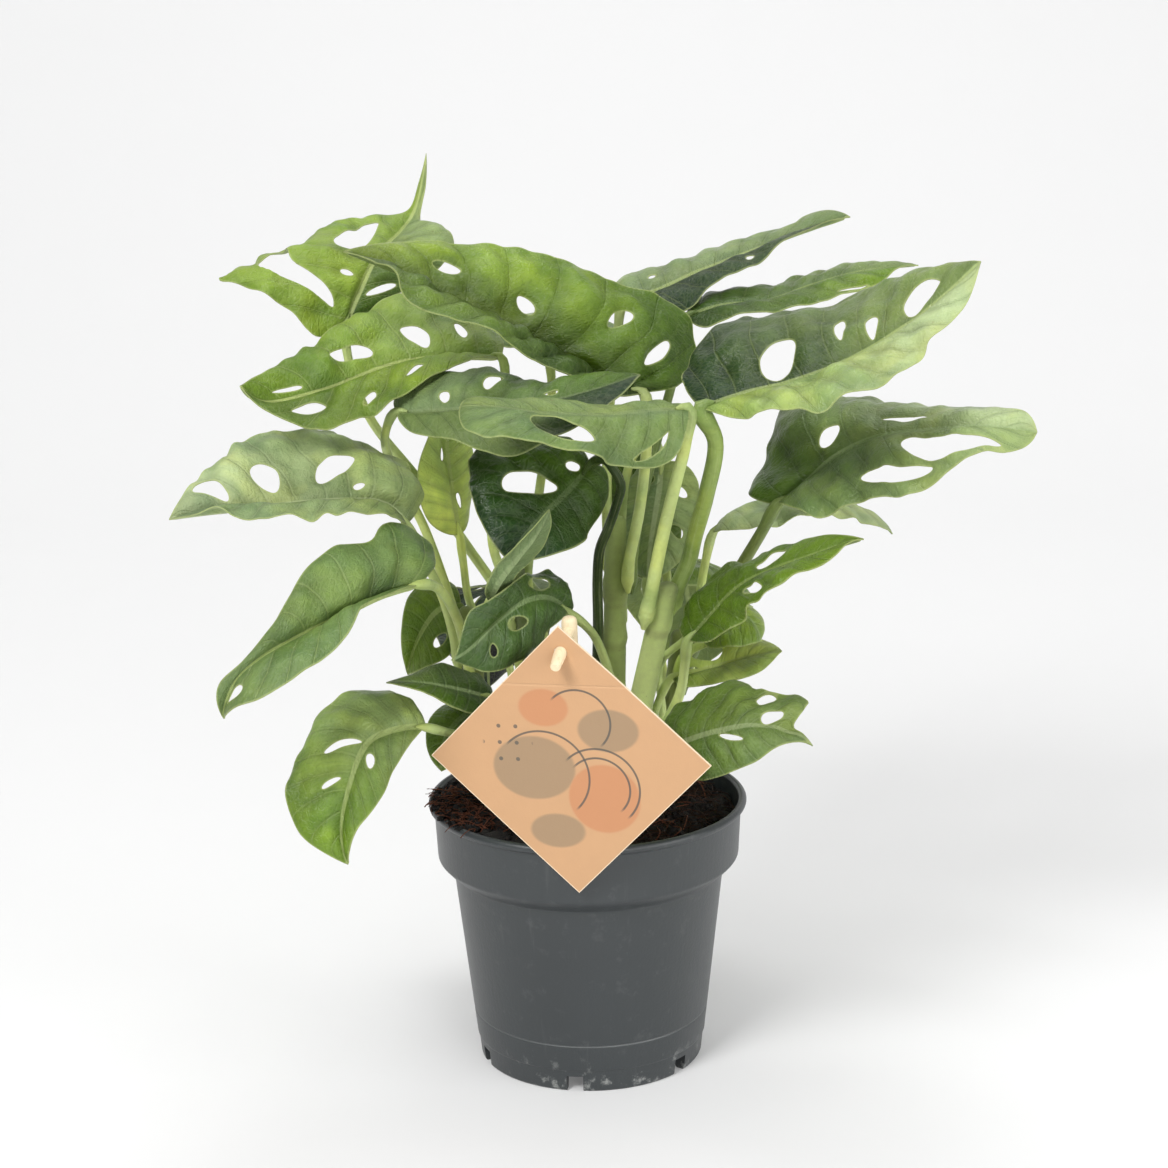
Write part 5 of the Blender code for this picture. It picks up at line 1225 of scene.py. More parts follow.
LEAVES["behind_mid"] = dict(
    rib=[(31, 36, 181), (26, 42, 190), (22, 46, 202), (19, 50, 213), (18, 54, 223)],
    left=[(22, 40, 182), (11, 46, 187), (7, 50, 201), (9, 54, 214), (13, 56, 222)],
    right=[(36, 40, 187), (38, 44, 197), (36, 48, 209), (29, 53, 219)],
    stalk=[(31, 24, 171), (27, 2, 158)],
    vine="right", joint=150, seat=95, radius=(1.6, 1.9), green="leaf_green",
)
print("leaves:", len(LEAVES))


# %% [markdown]
# ## The greens of the plant
# Young blades are yellow green, old ones deep and bluish. Each half of a blade also carries painted light
# and shade: a half in shade is given a deeper green and a half that catches the light a paler one, and two
# blades that sit in the shade of others are painted bright with straw and glow greens. A palette of named
# greens keeps this readable: each leaf names the tone of its left half, its right half and its underside,
# from the base to the tip.

# %% Leaf tones
PIGMENT_GAIN = np.array([0.87, 0.91, 0.78])
PIGMENT_GLOSS = 0.018
PIGMENT_FLOOR = 0.004
SWELL_SHADE = 0.22
GREENS = {
    "ink": (28, 42, 12), "bottle": (46, 64, 22), "deep": (62, 82, 32), "moss": (82, 106, 46),
    "olive": (104, 126, 60), "fresh": (116, 142, 60), "lime": (140, 163, 74),
    "pear": (150, 170, 98), "lemon": (164, 184, 96), "straw": (205, 222, 124),
    "glow": (230, 243, 148), "sage": (126, 143, 92), "haze": (132, 150, 110),
    "mist": (154, 170, 120), "silver": (184, 197, 156), "teal": (76, 98, 58), "sea": (112, 132, 88),
}
# Each half's pair of greens holds painted light and shade as well as the leaf's own colour.
TONES_AND_LIGHT = {
    "top_left": ("lime lime", "moss mist", "silver"),
    "crown": ("deep olive", "moss lime", "sage"),
    "back_high": ("haze mist", "bottle deep", "mist"),
    "back_right": ("teal sage", "deep fresh", "mist"),
    "right_big": ("bottle sage", "pear silver", "mist"),
    "right_low": ("moss silver", "sea mist", "mist"),
    "right_behind": ("silver silver", "silver silver", "mist"),
    "right_mid": ("moss fresh", "moss fresh", "sage"),
    "right_dark": ("lemon lemon", "olive lime", "sage"),
    "right_bright": ("straw glow", "olive glow", "sage"),
    "right_bottom": ("moss sage", "moss sea", "mist"),
    "left_bottom": ("sage fresh", "mist fresh", "mist"),
    "left_droop": ("sea sea", "sea sea", "mist"),
    "left_arch": ("mist haze", "mist silver", "silver"),
    "left_bright": ("lime olive", "pear fresh", "mist"),
    "centre_left": ("haze moss", "sage bottle", "mist"),
    "centre_front": ("sea sea", "sage sage", "sage"),
    "centre_dark": ("moss bottle", "moss bottle", "olive"),
    "centre_grey": ("mist mist", "haze mist", "sage"),
    "left_upright": ("glow glow", "glow glow", "sage"),
    "small_curled": ("mist olive", "mist olive", "haze"),
    "front_teal": ("teal teal", "teal teal", "sage"),
    "left_low": ("deep moss", "deep sea", "sage"),
    "left_inner": ("olive olive", "olive fresh", "sage"),
    "left_under": ("olive fresh", "olive fresh", "sage"),
    "behind_left": ("ink ink", "bottle bottle", "sage"),
    "behind_right": ("olive fresh", "olive fresh", "sage"),
    "behind_high": ("moss lime", "moss olive", "mist"),
    "behind_mid": ("olive moss", "olive moss", "sage"),
}


def pigment(word):
    """The linear colour of a green; the gloss adds some grey, so the pigment itself is deeper."""
    return np.maximum(linear(*GREENS[word]) * PIGMENT_GAIN - PIGMENT_GLOSS, PIGMENT_FLOOR)


def tones(pair):
    """The linear colours of a 'base tip' pair of green names."""
    return [pigment(word) for word in pair.split()]


print("greens:", len(GREENS), "for", len(TONES_AND_LIGHT), "leaves")


# %% [markdown]
# ## The curved surface of a blade
# Every point of a blade is a share of the way along its midrib and a share of the way out to its
# margin. Between the two the blade arches a little and waves towards the rim. The side veins leave
# the midrib at even steps, moved so that one of them passes between each two holes.

# %% Blade surface
BLADE_ARCH = 0.10
BLADE_WAVE = 1.0
WAVE_RATE = 9.5
WAVE_LEFT, WAVE_RIGHT = 0.6, 2.4
FULL_WAVE_WIDTH = 12
ALONG_STEP = 0.01
LEAST_VEIN_GAP = 0.07
VEIN_PITCH = 0.105
VEIN_SWEEP = 0.16
VEIN_WANDER = 0.014
NECK_SHARE = 0.86


def spaced_line(points, neck):
    """A line evenly spaced along its length, or with a neck evenly spaced on either side of it."""
    line = smooth_line(points, DENSE)
    if neck is None:
        return line
    place = np.argmin(np.linalg.norm(line - points[neck], axis=1)) / (DENSE - 1)
    return at(line, np.interp(np.linspace(0, 1, DENSE), [0, NECK_SHARE, 1], [0, place, 1]))


def blade_lines(leaf):
    neck = leaf.get("neck")
    lines = {"rib": spaced_line(leaf["rib"], neck)}
    for side in ("left", "right"):
        lines[side] = spaced_line([leaf["rib"][0], *leaf[side], leaf["rib"][-1]], neck)
    lines["length"] = span(lines["rib"])
    return lines


def half_width(lines, sign, along):
    """Width of the half blade on the side of the sign, at shares along the midrib."""
    root = at(lines["rib"], along)
    left = np.linalg.norm(at(lines["left"], along) - root, axis=-1)
    right = np.linalg.norm(at(lines["right"], along) - root, axis=-1)
    return np.where(sign > 0, left, right)


def nearest(points, targets):
    """How far each point is from the nearest of the targets."""
    tree = KDTree(len(targets))
    for i, target in enumerate(targets):
        tree.insert(target, i)
    tree.balance()
    return np.array([tree.find(p)[2] for p in points])


def on_blade(lines, sign, along, out):
    """Points of the curved blade for shares along the midrib and out to the margin."""
    root = at(lines["rib"], along)
    margin = np.where(sign[:, None] > 0, at(lines["left"], along), at(lines["right"], along))
    across = margin - root
    width = np.linalg.norm(across, axis=1)
    ahead = at(lines["rib"], along + ALONG_STEP) - at(lines["rib"], along - ALONG_STEP)
    face = np.cross(ahead, across) * sign[:, None]
    face /= np.maximum(np.linalg.norm(face, axis=1), 1e-9)[:, None]
    arch = BLADE_ARCH * width * 4 * out * (1 - out)
    start = np.where(sign > 0, WAVE_LEFT, WAVE_RIGHT)
    wave = BLADE_WAVE * out**2 * np.sin(WAVE_RATE * along + start)
    lift = arch + wave * np.minimum(1, width / FULL_WAVE_WIDTH)
    return root + out[:, None] * across + face * lift[:, None]


def vein_roots(leaf, side):
    """Where the side veins leave the midrib: one passes between each two holes."""
    roots = sorted(a - VEIN_SWEEP * o for s, a, o, *_ in leaf.get("holes", []) if s == side)
    gaps = []
    for root in roots:
        if not gaps or root - gaps[-1] > LEAST_VEIN_GAP:
            gaps.append(root)
    if not gaps:
        return np.arange(-0.4, 1.3, VEIN_PITCH)
    veins = [gaps[0] - VEIN_PITCH / 2]
    for first, second in zip(gaps[:-1], gaps[1:]):
        steps = max(1, round((second - first) / VEIN_PITCH))
        veins += list(first + (second - first) * (np.arange(steps) + 0.5) / steps)
    veins.append(gaps[-1] + VEIN_PITCH / 2)
    before = np.arange(veins[0] - VEIN_PITCH, -0.5, -VEIN_PITCH)[::-1]
    after = np.arange(veins[-1] + VEIN_PITCH, 1.4, VEIN_PITCH)
    return np.concatenate([before, veins, after])


# %% [markdown]
# ## A flat plan with holes
# A blade is drawn flat first, with the midrib on the x axis. A constrained triangulation fills the
# outline with even triangles and leaves the holes open, which a grid of quads can't do as neatly.

# %% Flat plan
BLADE_STEP = 1.35
ROW_PITCH = 0.866
CLEAR_OF_RIM = 0.55
HOLE_EGG = 0.2
LEAST_HOLE_SIDES = 16


def hole_loop(lines, side, along, out, half_along, half_out, slant):
    """An egg-shaped opening on the flat plan."""
    sign = 1.0 if side == "left" else -1.0
    width = half_width(lines, np.array([sign]), np.array([along]))[0]
    size = 2 * math.pi * max(half_along * lines["length"], half_out * width)
    sides = max(LEAST_HOLE_SIDES, int(size))
    turn = 2 * math.pi * (np.arange(sides) + 0.5) / sides
    egg = 1 + HOLE_EGG * np.sin(turn)
    x = along + half_along * egg * np.cos(turn) + slant * np.sin(turn)
    y = out + half_out * np.sin(turn)
    return flat_places(lines, np.full(len(turn), sign), x, y)


def flat_places(lines, sign, along, out):
    width = half_width(lines, sign, along)
    return np.stack([along * lines["length"], sign * out * width], axis=1)


def inside(places, polygon):
    """Which places lie inside a flat polygon."""
    x, y = places[:, 0][:, None], places[:, 1][:, None]
    ax, ay = polygon[:, 0], polygon[:, 1]
    bx, by = np.roll(ax, -1), np.roll(ay, -1)
    rise = np.where(by == ay, 1e-12, by - ay)
    hits = ((ay > y) != (by > y)) & (x < ax + (y - ay) * (bx - ax) / rise)
    return hits.sum(axis=1) % 2 == 1


def in_blade(places, loops):
    """Which places lie inside the margin and outside every hole."""
    keep = inside(places, loops[0])
    for loop in loops[1:]:
        keep &= ~inside(places, loop)
    return keep


def raised(places):
    """Flat places as points in space, at height nought."""
    return np.column_stack([places, np.zeros(len(places))])


def even_field(loops, rims, length):
    """Rows of points at the corners of even triangles, clear of the margin and the rims."""
    low, high = rims.min(axis=0), rims.max(axis=0)
    row_step = BLADE_STEP * ROW_PITCH
    field = []
    for row in np.arange(math.floor(low[1] / row_step), math.ceil(high[1] / row_step)):
        xs = np.arange(0, length, BLADE_STEP) + (BLADE_STEP / 2 if row % 2 else 0)
        field.append(np.stack([xs, np.full(len(xs), row * BLADE_STEP * ROW_PITCH)], axis=1))
    field = np.concatenate(field)
    field = field[in_blade(field, loops)]
    return field[nearest(raised(field), raised(rims)) > BLADE_STEP * CLEAR_OF_RIM]


def flat_plan(leaf, lines):
    """Flat points, their triangles, and how many of the first points lie on margin and rims."""
    length = lines["length"]
    count = int(max(length, span(lines["left"]), span(lines["right"])) / BLADE_STEP)
    shares = np.linspace(0, 1, count + 1)
    one = np.ones(count + 1)
    left = flat_places(lines, one, shares, one)
    right = flat_places(lines, -one, shares, one)[-2:0:-1]
    loops = [np.concatenate([left, right])]
    loops += [hole_loop(lines, *hole) for hole in leaf.get("holes", [])]
    rims = np.concatenate(loops)
    edges = []
    start = 0
    for loop in loops:
        index = list(range(start, start + len(loop)))
        edges += list(zip(index, index[1:] + index[:1]))
        start += len(loop)
    flat = np.concatenate([rims, even_field(loops, rims, length)])
    cut = delaunay_2d_cdt([Vector(p) for p in flat.tolist()], edges, [], 0, 1e-6)
    origin = [o[0] if o else -1 for o in cut[3]]
    triangles = np.array([[origin[i] for i in face] for face in cut[2]])
    triangles = triangles[(triangles >= 0).all(axis=1)]
    triangles = triangles[in_blade(flat[triangles].mean(axis=1), loops)]
    a, b, c = (flat[triangles[:, k]] for k in range(3))
    turn = (b[:, 0] - a[:, 0]) * (c[:, 1] - a[:, 1]) - (b[:, 1] - a[:, 1]) * (c[:, 0] - a[:, 0])
    triangles[turn < 0] = triangles[turn < 0][:, ::-1]
    triangles = triangles[abs(turn) > 1e-9]
    return flat, triangles, len(loops[0]), len(rims)


def point_normals(points, triangles):
    a, b, c = (points[triangles[:, k]] for k in range(3))
    faces = np.cross(b - a, c - a)
    normals = np.zeros_like(points)
    for k in range(3):
        np.add.at(normals, triangles[:, k], faces)
    return normals / np.maximum(np.linalg.norm(normals, axis=1), 1e-12)[:, None]


# %% [markdown]
# ## What makes each blade its own
# A living blade is never smooth: the fields between its veins are quilted, its halves roll and
# dent, and its rim flutters. These tables say how much of each a leaf has, in millimetres, where
# it has a fold, how pale its midrib is, and the size and seed of each layer of smooth noise.

# %% Relief tables
RIB_PALE_USUAL = 0.55
VEIN_PALE_SHARE = 0.2
RIB_PALE = {
    "left_droop": 0.9, "left_bright": 0.7, "left_bottom": 0.7, "crown": 0.05, "centre_dark": 0.2,
    "back_right": 0.35, "centre_left": 0.12, "centre_front": 0.12, "small_curled": 0.2,
    "right_bottom": 0.3, "right_mid": 0.3, "front_teal": 0.35, "left_under": 0.3,
}
FOLDS = {
    "right_big": [("left", 0.16, 0.5, 0.06, 0.45, -3.2), ("left", 0.45, 0.45, 0.06, 0.4, 2.4),
                  ("left", 0.68, 0.45, 0.05, 0.4, -1.8), ("right", 0.5, 0.6, 0.1, 0.4, 1.6)],
    "right_low": [("left", 0.2, 0.45, 0.05, 0.6, -3.4), ("left", 0.42, 0.4, 0.06, 0.4, 2.2),
                  ("right", 0.36, 0.6, 0.06, 0.4, -2.4)],
    "left_arch": [("left", 0.5, 0.8, 0.25, 0.35, -2.6), ("right", 0.5, 0.45, 0.04, 0.35, -2.2),
                  ("right", 0.16, 0.4, 0.05, 0.4, 2.4)],
    "left_bright": [("right", 0.44, 0.4, 0.05, 0.35, -2.6), ("right", 0.66, 0.4, 0.05, 0.35, 2.4),
                    ("left", 0.45, 0.5, 0.06, 0.4, -2.4)],
    "top_left": [("left", 0.38, 0.45, 0.05, 0.35, 2.6), ("left", 0.12, 0.55, 0.06, 0.45, -2.4)],
    "crown": [("right", 0.5, 0.22, 0.05, 0.2, -3.0), ("right", 0.42, 0.3, 0.04, 0.24, 2.6),
              ("right", 0.3, 0.3, 0.035, 0.25, -2.6), ("right", 0.23, 0.45, 0.04, 0.25, 1.8),
              ("right", 0.66, 0.3, 0.05, 0.25, 2.0)],
}
RELIEF = dict(quilt=0.65, sharp=0.95, roll=2.3, dimple=1.5, flutter=1.7, curl=-0.9, rim_curl=-0.9)
RELIEF_OF = {
    "crown": dict(quilt=1.9, sharp=0.8, roll=2.0, dimple=1.8, flutter=0.6, curl=0.8, rim_curl=-1.6),
    "left_bright": dict(quilt=0.8, roll=2.6),
    "right_big": dict(quilt=0.55, roll=2.4, flutter=1.0),
    "right_low": dict(quilt=0.5, roll=2.6, flutter=1.0),
    "back_high": dict(quilt=0.7, roll=1.2, flutter=0.8),
    "left_droop": dict(quilt=0.3, roll=1.5, flutter=0.8),
    "left_arch": dict(quilt=0.35, roll=2.6),
    "left_upright": dict(quilt=0.3, roll=1.0, flutter=0.8),
    "front_teal": dict(roll=3.4, dimple=2.2, flutter=2.2),
}
CLOUDS = {
    "wander": (17.0, 9), "uneven": (24.0, 31), "roll": (23.0, 0), "dimple": (7.0, 20),
    "frill": (7.5, 40), "lip": (22.0, 80), "rim_lip": (14.0, 120),
}
UNEVEN = 0.9
QUILT_LEVEL = 0.4
GROOVE_WIDTH, GROOVE_DEPTH = 1.7, 0.7
KEEL_WIDTH, KEEL_DEPTH = 0.95, 0.75


def cloud_at(points, size, seed):
    """Smooth noise from -1 to 1 at points in millimetres, with features of the given size."""
    shift = Vector((seed * 3.7, seed * 1.3, seed * 2.1))
    return np.array([noise.noise(Vector(p) / size + shift) for p in points])


def veins_at(leaf, sign, root):
    """The number of the side vein at each point, with its fraction, and the step between veins."""
    phase, gap = np.zeros(len(root)), np.zeros(len(root))
    for value, side in ((1, "left"), (-1, "right")):
        veins = vein_roots(leaf, side)
        own = sign == value
        phase[own] = np.interp(root[own], veins, np.arange(len(veins)))
        gap[own] = np.interp(root[own], veins, np.gradient(veins))
    return phase, gap


# %% [markdown]
# ## A blade with two faces
# The relief lifts the middle surface. The two faces then lie a little apart and meet at every rim,
# thinner there than inside. The midrib is a groove above and a keel below. Distances to the
# midrib, to the nearest side vein and to the nearest rim stay on the points, because the material
# draws its lines by them.

# %% Blade mesh
RIM_THICKNESS = 0.35
BODY_THICKNESS = 0.62
THICKNESS_REACH = 1.6
NO_HOLE = 99


def make_blade(name, leaf):
    amount = {**RELIEF, **RELIEF_OF.get(name, {})}
    seed = list(LEAVES).index(name) + 1
    lines = blade_lines(leaf)
    flat, triangles, margin_count, rim_count = flat_plan(leaf, lines)
    along = np.clip(flat[:, 0] / lines["length"], 0, 1)
    sign = np.where(flat[:, 1] >= 0, 1.0, -1.0)
    width = half_width(lines, sign, along)
    out = np.clip(abs(flat[:, 1]) / np.maximum(width, 1e-6), 0, 1)
    middle = on_blade(lines, sign, along, out)
    cloud = {kind: cloud_at(middle, size, seed + more) for kind, (size, more) in CLOUDS.items()}
    phase, gap = veins_at(leaf, sign, along - VEIN_SWEEP * out + VEIN_WANDER * cloud["wander"])
    step_on = on_blade(lines, sign, np.clip(along + ALONG_STEP, 0, 1), out)
    step_back = on_blade(lines, sign, np.clip(along - ALONG_STEP, 0, 1), out)
    pace = np.linalg.norm(step_on - step_back, axis=1) / (2 * ALONG_STEP)
    rib = sign * out * width
    edge = nearest(middle, middle[:margin_count])
    hole = edge + NO_HOLE
    if rim_count > margin_count:
        hole = nearest(middle, middle[margin_count:rim_count])
    near = soft_step(abs(rib), 0.6, 6.0)
    large = soft_step(width, 5, 24)
    puff = np.abs(np.sin(math.pi * phase))**amount["sharp"] - QUILT_LEVEL
    puff = puff * (1 + UNEVEN * cloud["uneven"])
    room = near * (0.2 + 0.8 * soft_step(edge, 0.0, 7.0)) * (0.4 + 0.6 * soft_step(hole, 0.0, 3.5))
    groove = np.exp(-(rib / GROOVE_WIDTH)**2) * GROOVE_DEPTH * (1 - 0.6 * along)
    roll = cloud["roll"] * near * large
    dimple = cloud["dimple"] * near * large * soft_step(edge, 0.0, 5.0)
    frill = cloud["frill"] * np.exp(-edge / 4.0) * large
    lip = np.exp(-edge / 3.0) * (0.6 + 0.8 * cloud["lip"]) * large
    rim_lip = np.exp(-hole / 2.0) * (0.8 + 0.7 * cloud["rim_lip"])
    lift = amount["quilt"] * puff * room - groove + amount["roll"] * roll + amount["dimple"] * dimple
    lift += amount["flutter"] * frill * 2.0 + amount["curl"] * lip + amount["rim_curl"] * rim_lip
    for side, fold_along, fold_out, reach_along, reach_out, height in FOLDS.get(name, []):
        own = sign == (1 if side == "left" else -1)
        bell = ((along - fold_along) / reach_along)**2 + ((out - fold_out) / reach_out)**2
        lift += own * height * np.exp(-bell) * near
    lift *= soft_step(flat[:, 0], 0.0, 4.0)
    middle = middle + point_normals(middle, triangles) * lift[:, None]
    edge = np.minimum(edge, hole)
    thick = RIM_THICKNESS + (BODY_THICKNESS - RIM_THICKNESS) * soft_step(edge, 0, THICKNESS_REACH)
    keel = np.exp(-(rib / KEEL_WIDTH)**2) * KEEL_DEPTH * (1 - 0.75 * along)
    points, faces = two_faces(middle, triangles, thick / 2, thick / 2 + keel)
    values = {
        "phase": phase, "gap": gap * pace, "rib": rib, "edge": edge,
        "rib_width": 1.15 - 0.85 * along, "out": out, "along": along,
        "swell": np.clip(1.3 * puff * room + 1.1 * roll + 0.9 * dimple, -1, 1),
    }
    values = {name: np.tile(value, 2) for name, value in values.items()}
    values["under"] = np.repeat([0.0, 1.0], len(middle))
    return lines, points, faces, values, np.tile(raised(flat), (2, 1))


def two_faces(middle, triangles, above, below):
    """Both faces at their distances from the middle surface, with a wall along every rim."""
    count = len(middle)
    normals = point_normals(middle, triangles)
    points = np.concatenate([
        middle + normals * above[:, None],
        middle - normals * below[:, None],
    ])
    pairs = np.concatenate([triangles[:, [0, 1]], triangles[:, [1, 2]], triangles[:, [2, 0]]])
    keys = pairs[:, 0] * count + pairs[:, 1]
    lone = pairs[~np.isin(keys, pairs[:, 1] * count + pairs[:, 0])]
    first, second = lone[:, 0], lone[:, 1]
    walls = np.concatenate([
        np.stack([second, first, first + count], axis=1),
        np.stack([second, first + count, second + count], axis=1),
    ])
    return points, np.concatenate([triangles, triangles[:, ::-1] + count, walls])


# %% [markdown]
# ## The stalks
# A stalk starts under the base of its blade, bends down and ends in a sheath that hugs the stem. It
# is thin at the blade, has a knuckle just under it and widens into the sheath. It is one piece with
# the blade, as on the plant, and its tone runs from the leaf's own green to a paler one.

# %% Stalks
STALK_SIDES = 14
STALK_GIRTH = 12.0
STALK_STEP = 2.2
STALK_REACH = 5.0
STALK_FADE = (2, 26)
STALK_TONE = (200, 216, 138)
STALK_TONES = {
    "centre_dark": (52, 70, 28), "right_low": (112, 128, 72), "right_big": (150, 172, 92),
    "left_inner": (110, 130, 66), "back_right": (110, 130, 66),
}


def stalk_route(leaf, lines):
    """The stalk from under the blade's base down to its sheath beside the vine."""
    vine = VINES[leaf["vine"]]
    radius = leaf["radius"][1]
    centre, vine_radius = vine_at(vine, leaf["joint"])
    low_centre, low_radius = vine_at(vine, leaf["joint"] - SHEATH_LENGTH)
    outward = np.array(leaf["stalk"][-1][:2], float) - centre[:2]
    if "seat" in leaf:
        turn = math.radians(leaf["seat"])
        outward = np.array([math.cos(turn), math.sin(turn)])
    outward = np.append(outward / np.linalg.norm(outward), 0)
    foot = centre + outward * (vine_radius + radius + GAP)
    sheath_end = low_centre + outward * (low_radius + radius + GAP)
    reach = at(lines["rib"], STALK_REACH / lines["length"])
    path = [reach, leaf["rib"][0], *leaf["stalk"], foot, sheath_end]
    rough = span(np.array(path, float))
    return smooth_line(path, int(rough / STALK_STEP))


def make_stalk(leaf, lines):
    route = stalk_route(leaf, lines)
    top, foot = leaf["radius"]
    share = np.linspace(0, 1, len(route))
    down = share * span(route)
    radii = top + (foot - top) * share
    radii *= 0.25 + 0.75 * soft_step(down, -1.0, 5.5)
    radii *= 1 + 0.22 * np.exp(-((down - 9.0) / 4.0)**2)
    radii *= 1 + 0.16 * soft_step(down, down[-1] - 14, down[-1] - 7)
    radii *= 1 - 0.7 * soft_step(down, down[-1] - 5, down[-1])
    points, faces = loft(sweep(route, radii, STALK_SIDES))
    return points, faces, np.repeat(down, STALK_SIDES)


# %% [markdown]
# ## Blade and stalk in one
# Each half of the blade fades from its base tone to its tip tone. Painted light makes the quilted fields a
# little lighter and painted shade makes the valleys between them darker, and a few blades get painted shade
# along the midrib. The stalk has no veins or rims, so its points hold values for those distances that
# switch the lines off.

# %% Whole leaf
TONE_FADE = (0.05, 0.9)
HALVES_BLEND = 1.2
RIB_SHADE_WIDTH = 13.0
RIB_SHADE = {"crown": 0.5, "back_high": 0.25, "left_arch": 0.3}
FAR = 99.0


def blade_tint(name, values):
    left, right, under = TONES_AND_LIGHT[name]
    (left_base, left_tip), (right_base, right_tip) = tones(left), tones(right)
    fade = soft_step(values["along"], *TONE_FADE)[:, None]
    left = left_base + (left_tip - left_base) * fade
    right = right_base + (right_tip - right_base) * fade
    share = soft_step(values["rib"], -HALVES_BLEND, HALVES_BLEND)[:, None]
    upper = right + (left - right) * share
    # Painted light on the quilted swells, painted shade in the valleys between them.
    upper = upper * np.exp(SWELL_SHADE * values["swell"])[:, None]
    # Painted shade along the midrib of the blades in RIB_SHADE.
    bell = np.exp(-(values["rib"] / RIB_SHADE_WIDTH)**2)
    upper = upper * (1 - RIB_SHADE.get(name, 0.0) * bell)[:, None]
    return upper + (pigment(under) - upper) * values["under"][:, None]


def make_leaf(name, leaf, material):
    lines, points, faces, values, plan = make_blade(name, leaf)
    stalk, stalk_faces, down = make_stalk(leaf, lines)
    count = len(points)
    faces = faces.tolist() + [tuple(v + count for v in face) for face in stalk_faces]
    whole = add_piece("blade_" + name, np.concatenate([points, stalk]), faces, material)
    values["rib_pale"] = np.full(count, RIB_PALE.get(name, RIB_PALE_USUAL))
    values["vein_pale"] = values["rib_pale"] * VEIN_PALE_SHARE
    rest = {"phase": 0.5, "gap": 9.0, "rib": FAR, "edge": FAR, "rib_width": 0.5, "under": 0.4}
    rest["rib_pale"] = rest["vein_pale"] = 0.0
    for label, value in rest.items():
        store(whole, label, np.concatenate([values[label], np.full(len(stalk), value)]))
    store(whole, "stalk", np.concatenate([np.zeros(count), np.ones(len(stalk))]))
    around = np.arange(STALK_SIDES) / STALK_SIDES * STALK_GIRTH
    around = np.tile(around, len(stalk) // STALK_SIDES)
    wrapped = np.column_stack([down, around, np.zeros(len(stalk))])
    store(whole, "flat", np.concatenate([plan, wrapped]), "FLOAT_VECTOR")
    tint = blade_tint(name, values)
    near = tint[np.argmin(values["along"])]
    low = linear(*STALK_TONES.get(name, STALK_TONE))
    blend = soft_step(down, *STALK_FADE)[:, None]
    stalk_tint = (near * 0.5 + low * 0.5) * (1 - blend) + low * blend
    tint = np.concatenate([tint, stalk_tint])
    store(whole, "tint", np.column_stack([tint, np.ones(len(tint))]), "FLOAT_COLOR")
    dress(whole, leaf["green"], "leaf_" + name)
    return whole


# %% [markdown]
# ## Leaf material
# The upper face is waxy, the underside paler and matt. Side veins and midrib come from the stored distances
# as thin lines, and painted shade lies in soft valleys beside the side veins. A fine net between them comes
# from a cell pattern, the rims of the margin and the holes are pale, and patches of painted light and shade
# lie over the blade. A little light passes through the blade, so a Translucent shader is mixed in.

# %% Leaf shader
SUNNY = (1.42, 1.26, 0.72)
SHADED = (0.42, 0.55, 0.48)
VALLEY_SHADE = (0.45, 0.56, 0.50)
STREAK = (0.60, 0.70, 0.62)
RIM_TONE = linear(176, 186, 120)
SPOT_TONE = linear(120, 104, 60)
STRIPE_TONE = linear(200, 208, 150)
SHARE = dict(sunny=0.38, shaded=0.55, valley_shade=0.18, streak=0.28, net=0.05, rim=0.5, spot=0.35, stripe=0.25)
FINE_STRETCH = (0.9, 0.45, 1.0)
STRIPE_STRETCH = (0.05, 1.6, 1.0)


def green_with_painted_light(tree, place):
    """The leaf's tint, mottled, with patches of painted sunlight and painted shade a few centimetres
    across.
    """
    base, cloud = mottled(tree, stored(tree, "tint", "Color"), place, 48.0, 0.16)
    # Patches of painted sunlight.
    warm = threshold(tree, clouds(tree, place, 46.0, 3.0, 0.55), 0.44, 0.64)
    base = tinged(tree, base, SUNNY, warm, SHARE["sunny"])
    # Patches of painted shade.
    shade = threshold(tree, clouds(tree, place, 34.0, 3.0, 0.6), 0.52, 0.36)
    return tinged(tree, base, SHADED, shade, SHARE["shaded"]), cloud


